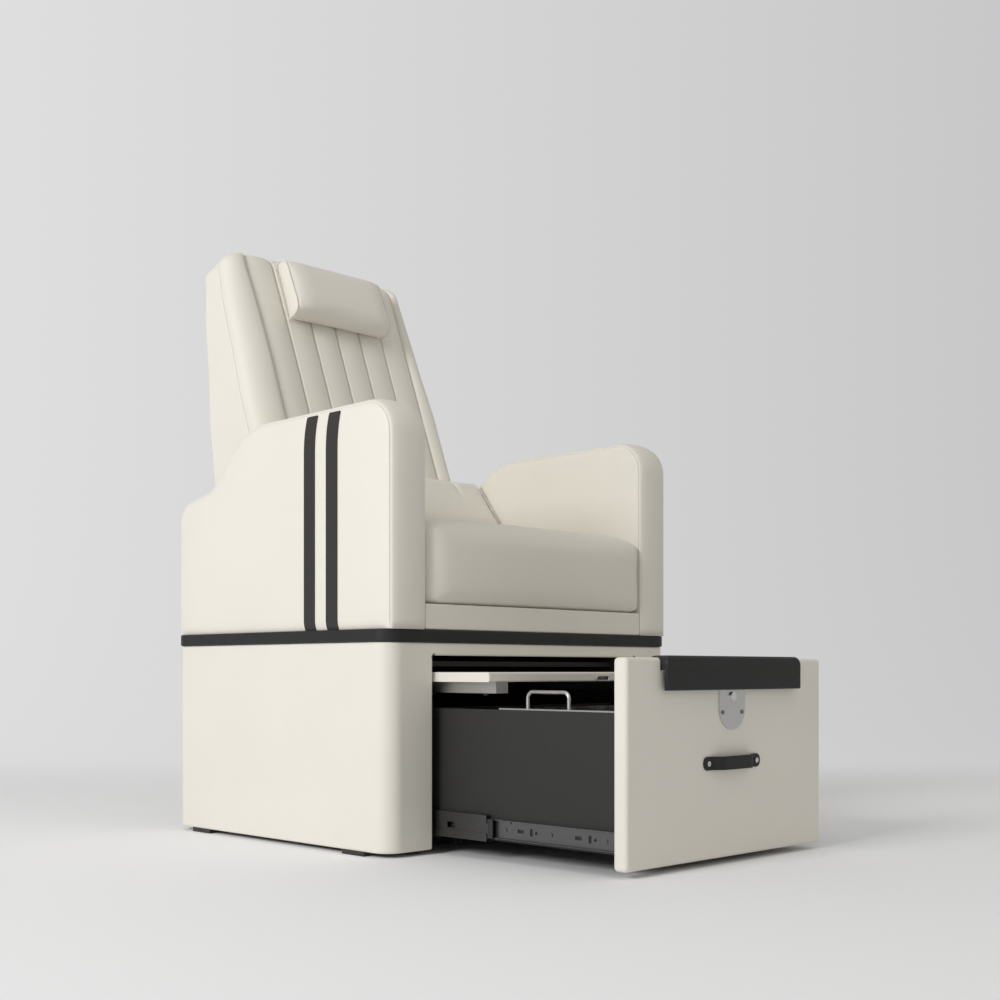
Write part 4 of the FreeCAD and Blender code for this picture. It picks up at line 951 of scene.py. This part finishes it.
def pad_line(up):
    """Places across the pad at a height, from its left seam to its right one."""
    last = channel_start + channel_width * channel_count
    near_top = float(np.clip((up - fan_from) / (back_roll_start - fan_from), 0, 1)) ** 2
    fan = 1 + fan_share * near_top
    lean = channel_lean * near_top
    left = bolster_line(half_at(up, -1), -channel_start * fan, bolster_round_left, lean)
    right = bolster_line(half_at(up), last, bolster_round_right)
    line = [(-x, out) for x, out in left]
    for index in range(channel_count):
        start = channel_start + channel_width * index
        shares = channel_shares[1:] + tuple(1 - share for share in reversed(channel_shares[:-1]))
        for share in shares[:-1] if index == channel_count - 1 else shares:
            near = min(share, 1 - share) * channel_width
            out = channel_crest - channel_fall * (2 * share - 1) ** 2 - groove(near)
            beside = (share * channel_width - ridge_place) / ridge_reach
            out += ridge_height * exp(-beside * beside)
            if index == 0:
                out -= lean * (1 - share) ** 1.5
            x = start + channel_width * share
            line.append((x * fan if x < 0 else x, out))
    return line + list(reversed(right))


pad_cover = back_form("back_pad_cover", back_below, pad_line, ("back_pad",))
for side, thread_name in ((-1, "back_left_thread"), (1, "back_right_thread")):
    points = []
    for row in range(back_rows + back_roll_rows):
        up, turn = rolled_row(row, back_below)
        half = half_at(min(up, back_roll_start), side) - back_front_corner * (1 - cos(turn))
        points.append(back_place(side * (half - seam_draw), 0, up))
    lay_thread(thread_name, points, "backrest")

# Head cushion. A full cushion strapped to the top of the back, flat behind. Its end panels
# are sewn in with piping, and its front swells between them and turns under below.
head_left = -0.1185
head_right = 0.1375
head_crown = 0.011
head_crown_reach = 0.048
head_behind = 0.044
head_forward_reach = 0.036
head_swell_low = 0.250
head_swell_height = 0.150
head_profile = (
    (head_behind, 0.262, 0.004), (0.0660, 0.2620, 0.012), (0.0835, 0.2680, 0.012),
    (0.0864, 0.2900, 0.012), (0.0800, 0.3970, 0.026), (head_behind, 0.397, 0.010))
piping_radius = 0.0013
head_mesh = bmesh.new()
rounded_face(head_mesh, head_profile, lambda a, b: back_place(head_left, a, b))
head_rim = [vert.co.copy() for vert in head_mesh.faces[:][0].verts]
thicken(head_mesh, Vector((head_right - head_left, 0, 0)))
head_cover = piece(
    head_mesh, "head_cushion_cover", "backrest", cream_leather,
    ("head_cushion",))
even_skin(head_cover, 0.004)
places = mesh_places(head_cover)
depth = (places - np.array(back_seam)) @ np.array(back_out)
height = (places - np.array(back_seam)) @ np.array(back_up)
end = np.minimum(places[:, 0] - head_left, head_right - places[:, 0])
swell = 1 - (1 - np.clip(end / head_crown_reach, 0, 1)) ** 2.6
forward = np.clip((depth - head_behind) / head_forward_reach, 0, 1)
tall = np.sin(pi * np.clip((height - head_swell_low) / head_swell_height, 0.04, 0.96))
places += np.outer(head_crown * swell * forward * (0.45 + 0.55 * tall), np.array(back_out))
set_places(head_cover, places)
blow_up(head_cover, 2, 0.002, 12)
relaxed(head_cover, 5)
finer(head_cover)


def turn_round(place):
    """The angle of a place round the head cushion's end, from behind below to behind above."""
    out = (place - back_seam).dot(back_out) - (head_profile[0][0] + head_profile[3][0]) / 2
    up = (place - back_seam).dot(back_up) - (head_profile[0][1] + head_profile[5][1]) / 2
    return atan2(up, out)


for x, piping_name in (
    (head_left - 0.3 * piping_radius, "head_piping_left"),
    (head_right - 0.4 * piping_radius, "head_piping_right"),
):
    ring = [Vector((x, place.y, place.z)) for place in sorted(head_rim, key=turn_round)]
    tube(piping_name, ring, piping_radius, "backrest", cream_leather)

# Lumbar cushion. A long foam wedge in cream leather lies across the seat against the back,
# with a short sewn tuck near each end of its top and thin seams round its end panels.
lumbar_half = 0.280
lumbar_foot_z = seat_low + 0.156
lumbar_knee = 0.052
lumbar_front_y = base_front + 0.383
lumbar_top_y = base_front + 0.462
lumbar_top_z = 0.747
lumbar_slope = 0.013
lumbar_tuck = 0.200
lumbar_tuck_half_width = 0.005
lumbar_tuck_depth = 0.005
lumbar_tuck_length = 0.055
lumbar_tuck_fade = 0.045
lumbar_shrink = 0.003
lumbar_end_shrink = 0.002
lumbar_out = 0.046
lumbar_seam_in = 0.0035
foot_up = (lumbar_foot_z - back_seam.z - lumbar_out * back_out.z) / back_up.z
head_up = (lumbar_top_z - lumbar_slope - back_seam.z - lumbar_out * back_out.z) / back_up.z
lumbar_foot_rear = back_place(0, lumbar_out, foot_up)
lumbar_head_rear = back_place(0, lumbar_out, head_up)
lumbar_mesh = bmesh.new()
rounded_face(
    lumbar_mesh,
    [(lumbar_foot_rear.y - lumbar_shrink, lumbar_foot_z, 0.010),
     (lumbar_front_y + lumbar_shrink, lumbar_foot_z, 0.016),
     (lumbar_front_y + lumbar_shrink, lumbar_foot_z + lumbar_knee, 0.030),
     (lumbar_top_y + lumbar_shrink / 2, lumbar_top_z - lumbar_shrink, 0.026),
     (lumbar_head_rear.y - lumbar_shrink, lumbar_head_rear.z - lumbar_shrink, 0.010)],
    lambda a, b: (lumbar_end_shrink - lumbar_half, a, b))
lumbar_rim = [vert.co.copy() for vert in lumbar_mesh.faces[:][0].verts]
thicken(lumbar_mesh, Vector((2 * (lumbar_half - lumbar_end_shrink), 0, 0)))
lumbar_cover = piece(
    lumbar_mesh, "lumbar_cushion_cover", "backrest", cream_leather,
    ("lumbar_cushion",))
even_skin(lumbar_cover, 0.0055)
blow_up(lumbar_cover, 2, 0.003, 14)
relaxed(lumbar_cover, 6)
places = mesh_places(lumbar_cover)
tuck_low = lumbar_top_z - lumbar_tuck_length
for tuck_x in (-lumbar_tuck, lumbar_tuck):
    beside = (places[:, 0] - tuck_x) / lumbar_tuck_half_width
    depth = lumbar_tuck_depth * np.exp(-beside ** 2)
    fade = np.clip((places[:, 2] - tuck_low) / lumbar_tuck_fade, 0, 1)
    places[:, 1] += depth * fade
    places[:, 2] -= depth * fade * 0.6
set_places(lumbar_cover, places)
finer(lumbar_cover)
for x, piping_name in ((-1, "lumbar_seam_left"), (1, "lumbar_seam_right")):
    seam_x = x * (lumbar_half - lumbar_seam_in)
    ring = [Vector((seam_x, place.y, place.z)) for place in lumbar_rim]
    tube(piping_name, ring, thread_radius, "backrest", cream_leather, True)

# Footrest pad. A black leather pad on a board sits in the top of the drawer front, with a
# lip that hangs down over the front face and round upper corners.
rest_low, rest_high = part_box("footrest_pad")
rest_lip = 0.008
rest_thickness = 0.024
rest_shelf = rest_high.z - rest_thickness
rest_round = 0.012
rest_edge = 0.007
rest_end_edge = 0.0025
rest_columns = (0.0004, 0.0012, 0.0024, 0.004, 0.006, 0.0085, rest_round)
rest_mesh = bmesh.new()
rounded_face(
    rest_mesh,
    [(rest_high.y, rest_shelf, 0), (rest_high.y, rest_high.z, rest_edge),
     (rest_low.y, rest_high.z, rest_edge), (rest_low.y, rest_low.z, 0.003),
     (rest_low.y + rest_lip, rest_low.z, 0), (rest_low.y + rest_lip, rest_shelf, 0)],
    lambda a, b: (rest_low.x, a, b))
thicken(rest_mesh, Vector((rest_high.x - rest_low.x, 0, 0)))
ends = [edge for edge in sharp_edges(rest_mesh)
        if abs(edge.verts[0].co.x - edge.verts[1].co.x) < 1e-6]
round_edges(rest_mesh, ends, rest_end_edge, 3)
for reach in rest_columns:
    cut_at(rest_mesh, Vector((1, 0, 0)), (rest_low.x + reach, rest_high.x - reach))
cut_at(rest_mesh, Vector((0, 0, 1)), (rest_shelf, rest_high.z - rest_edge))
for vert in rest_mesh.verts:
    inward = min(vert.co.x - rest_low.x, rest_high.x - vert.co.x)
    short = max(0, rest_round - max(0, inward))
    drop = rest_round - sqrt(rest_round ** 2 - short ** 2)
    span = rest_high.z - rest_edge - rest_shelf
    vert.co.z -= drop * min(1, max(0, (vert.co.z - rest_shelf) / span))
rest_cover = piece(
    rest_mesh, "footrest_cover", "footrest", black_leather,
    ("footrest_pad",))
even_normals(rest_cover)

# Strap handle. A bowed strap of doubled black leather with rounded ends, held to the drawer
# front by a steel stud at each end.
strap_low, strap_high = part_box("strap_handle")
strap_half_length = strap_high.x
strap_half_height = (strap_high.z - strap_low.z) / 2
strap_middle_z = (strap_high.z + strap_low.z) / 2
strap_thickness = 0.003
strap_edge = 0.0009
strap_face = strap_high.y
strap_bow = strap_high.y - strap_low.y - strap_thickness
strap_flat = 0.021
strap_rise = 0.022
strap_end_radius = 0.010
strap_mesh = bmesh.new()
for vert in bmesh.ops.create_grid(strap_mesh, x_segments=96, y_segments=6, size=0.5)["verts"]:
    x = vert.co.x * 2 * strap_half_length
    end = strap_half_length - abs(x)
    rise = min(1, max(0, (end - strap_flat) / strap_rise))
    bow = strap_bow * rise * rise * (3 - 2 * rise)
    short = max(0, strap_end_radius - end)
    half = strap_half_height - strap_end_radius + sqrt(max(0, strap_end_radius ** 2 - short ** 2))
    vert.co = (x, strap_face - bow, strap_middle_z + vert.co.y * 2 * half)
bmesh.ops.recalc_face_normals(strap_mesh, faces=strap_mesh.faces[:])
if strap_mesh.faces[:][0].normal.y > 0:
    bmesh.ops.reverse_faces(strap_mesh, faces=strap_mesh.faces[:])
strap = piece(
    strap_mesh, "strap_handle_leather", "drawer", black_leather,
    ("strap_handle",))
body_of_strap = strap.modifiers.new("strap", "SOLIDIFY")
body_of_strap.thickness = strap_thickness
body_of_strap.offset = 1
rolled_edges(strap, strap_edge, 3)
even_normals(strap)

# Boards of the hollow base and the drawer. Dark melamine board with a faint mottled skin,
# screwed together; only the drawer's sides and inner rails show.


def solid_finish(name, colour, roughness, metallic=0, mottle=0.12, scale=60, stretch=(1, 1, 1)):
    """A hard finish with slight mottling in its colour, sheen and surface."""
    material, *driven = undriven(
        name, colour, mottle, (max(0.05, roughness - 0.08), roughness + 0.08), 0.2, 0.0002)
    nodes = material.node_tree.nodes
    links = material.node_tree.links
    place = nodes.new("ShaderNodeTexCoord")
    pull = nodes.new("ShaderNodeMapping")
    pull.inputs["Scale"].default_value = stretch
    spots = noise(material, scale, 6)
    links.new(place.outputs["Object"], pull.inputs["Vector"])
    links.new(pull.outputs["Vector"], spots.inputs["Vector"])
    for entry in driven:
        links.new(spots.outputs["Fac"], entry)
    nodes["Principled BSDF"].inputs["Metallic"].default_value = metallic
    return material


def finish_nodes(material, names):
    """Gives carried-over CAD pieces their finish."""
    for name in names:
        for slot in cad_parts[name].material_slots:
            slot.material = material


dark_board = solid_finish("dark_board", (0.017, 0.0168, 0.016), 0.6, 0, 0.06, 90)
finish_nodes(dark_board, [
    "drawer_side_left", "drawer_side_right", "drawer_back", "drawer_bottom", "drawer_divider"])
brown_board = solid_finish("brown_board", (0.060, 0.052, 0.044), 0.6, 0, 0.1, 60)
finish_nodes(brown_board, ["carcass_side_left", "carcass_side_right", "carcass_rails"])
finish_nodes(cream_leather, ["drawer_front", "shelf_board", "body_rear_panel"])
plywood = solid_finish("birch_plywood", (0.55, 0.40, 0.24), 0.6, 0, 0.15, 30, (1, 1, 8))
finish_nodes(plywood, ["seat_rails", "arm_frames"])
webbing = solid_finish("jute_webbing", (0.30, 0.25, 0.17), 0.8, 0, 0.2, 300)
finish_nodes(webbing, ["seat_webbing"])
brushed_steel = solid_finish("brushed_steel", (0.62, 0.62, 0.625), 0.28, 1, 0.04, 60, (30, 1, 30))
finish_nodes(brushed_steel, ["basin_handles", "latch_plate", "strap_studs"])
bright_steel = solid_finish("bright_steel", (0.82, 0.82, 0.82), 0.2, 1, 0.03, 60)
finish_nodes(bright_steel, ["lock_button"])
dull_steel = solid_finish("dull_steel", (0.22, 0.22, 0.22), 0.4, 1, 0.05, 60)
finish_nodes(dull_steel, ["plate_screws"])
polished_steel = solid_finish("polished_steel", (0.6, 0.6, 0.6), 0.1, 1, 0.03, 60)
finish_nodes(polished_steel, ["foot_basin"])
pale_zinc = solid_finish("pale_zinc", (0.50, 0.50, 0.50), 0.4, 1, 0.08, 120, (1, 6, 1))
finish_nodes(pale_zinc, ["shelf_runners"])
zinc = solid_finish("zinc_plate", (0.16, 0.16, 0.165), 0.38, 1, 0.08, 120, (1, 6, 1))
finish_nodes(zinc, [
    "slide_fixed_left", "slide_fixed_right", "slide_inner_left", "slide_inner_right",
    "slide_screws", "slide_balls", "shelf_rails", "button_spring", "recline_pins"])
# Painted shade: a darker copy of the zinc for the middle slide members, which sit in shade under
# the base.
zinc_painted_shade = solid_finish("zinc_plate_painted_shade", (0.10, 0.10, 0.103), 0.38, 1, 0.08, 120, (1, 6, 1))
finish_nodes(zinc_painted_shade, ["slide_middle_left", "slide_middle_right"])
black_steel = solid_finish("black_powder_steel", (0.03, 0.03, 0.03), 0.45, 0, 0.1, 500)
finish_nodes(black_steel, [
    "back_frame", "recline_brackets", "recline_tabs", "footrest_post", "footrest_guide"])
black_plastic = solid_finish("black_plastic", (0.02, 0.02, 0.02), 0.4, 0, 0.05, 200)
finish_nodes(black_plastic, ["slide_catches", "base_glides"])
black_rubber = solid_finish("black_rubber", (0.015, 0.015, 0.015), 0.75, 0, 0.1, 200)
finish_nodes(black_rubber, ["shelf_bumpers"])

# Shelf pull. A small oval finger pull of bright steel is let in at the lower edge of the
# shelf's front: a round rim over a recessed cup, whose darker zinc is painted shade in the
# hollow.
pull_low, pull_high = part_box("shelf_pull")
pull_middle = (pull_low + pull_high) / 2
pull_half = (pull_high.x - pull_low.x) / 2
pull_round = (pull_high.z - pull_low.z) / 2
pull_rim = 0.0012
pull_cup_wall = 0.0008
pull_cup_gap = 0.0002
cup_mesh = bmesh.new()
pull_corners = []
for x, z in ((-1, -1), (1, -1), (1, 1), (-1, 1)):
    corner = (pull_middle.x + x * pull_half, pull_middle.z + z * pull_round)
    pull_corners.append((*corner, pull_round * 0.98))
rounded_face(cup_mesh, pull_corners, lambda a, b: (a, pull_high.y - pull_cup_gap, b))
pull_ring = [Vector((vert.co.x, pull_low.y + pull_rim, vert.co.z))
             for vert in cup_mesh.faces[:][0].verts]
thicken(cup_mesh, Vector((0, -pull_cup_wall, 0)))
# The recess is real; the cup's darker zinc, against the bright steel rim, is painted shade in the
# hollow.
piece(cup_mesh, "shelf_pull_cup", "shelf", zinc, ("shelf_pull",))
tube("shelf_pull_rim", pull_ring, pull_rim, "shelf", brushed_steel, True)
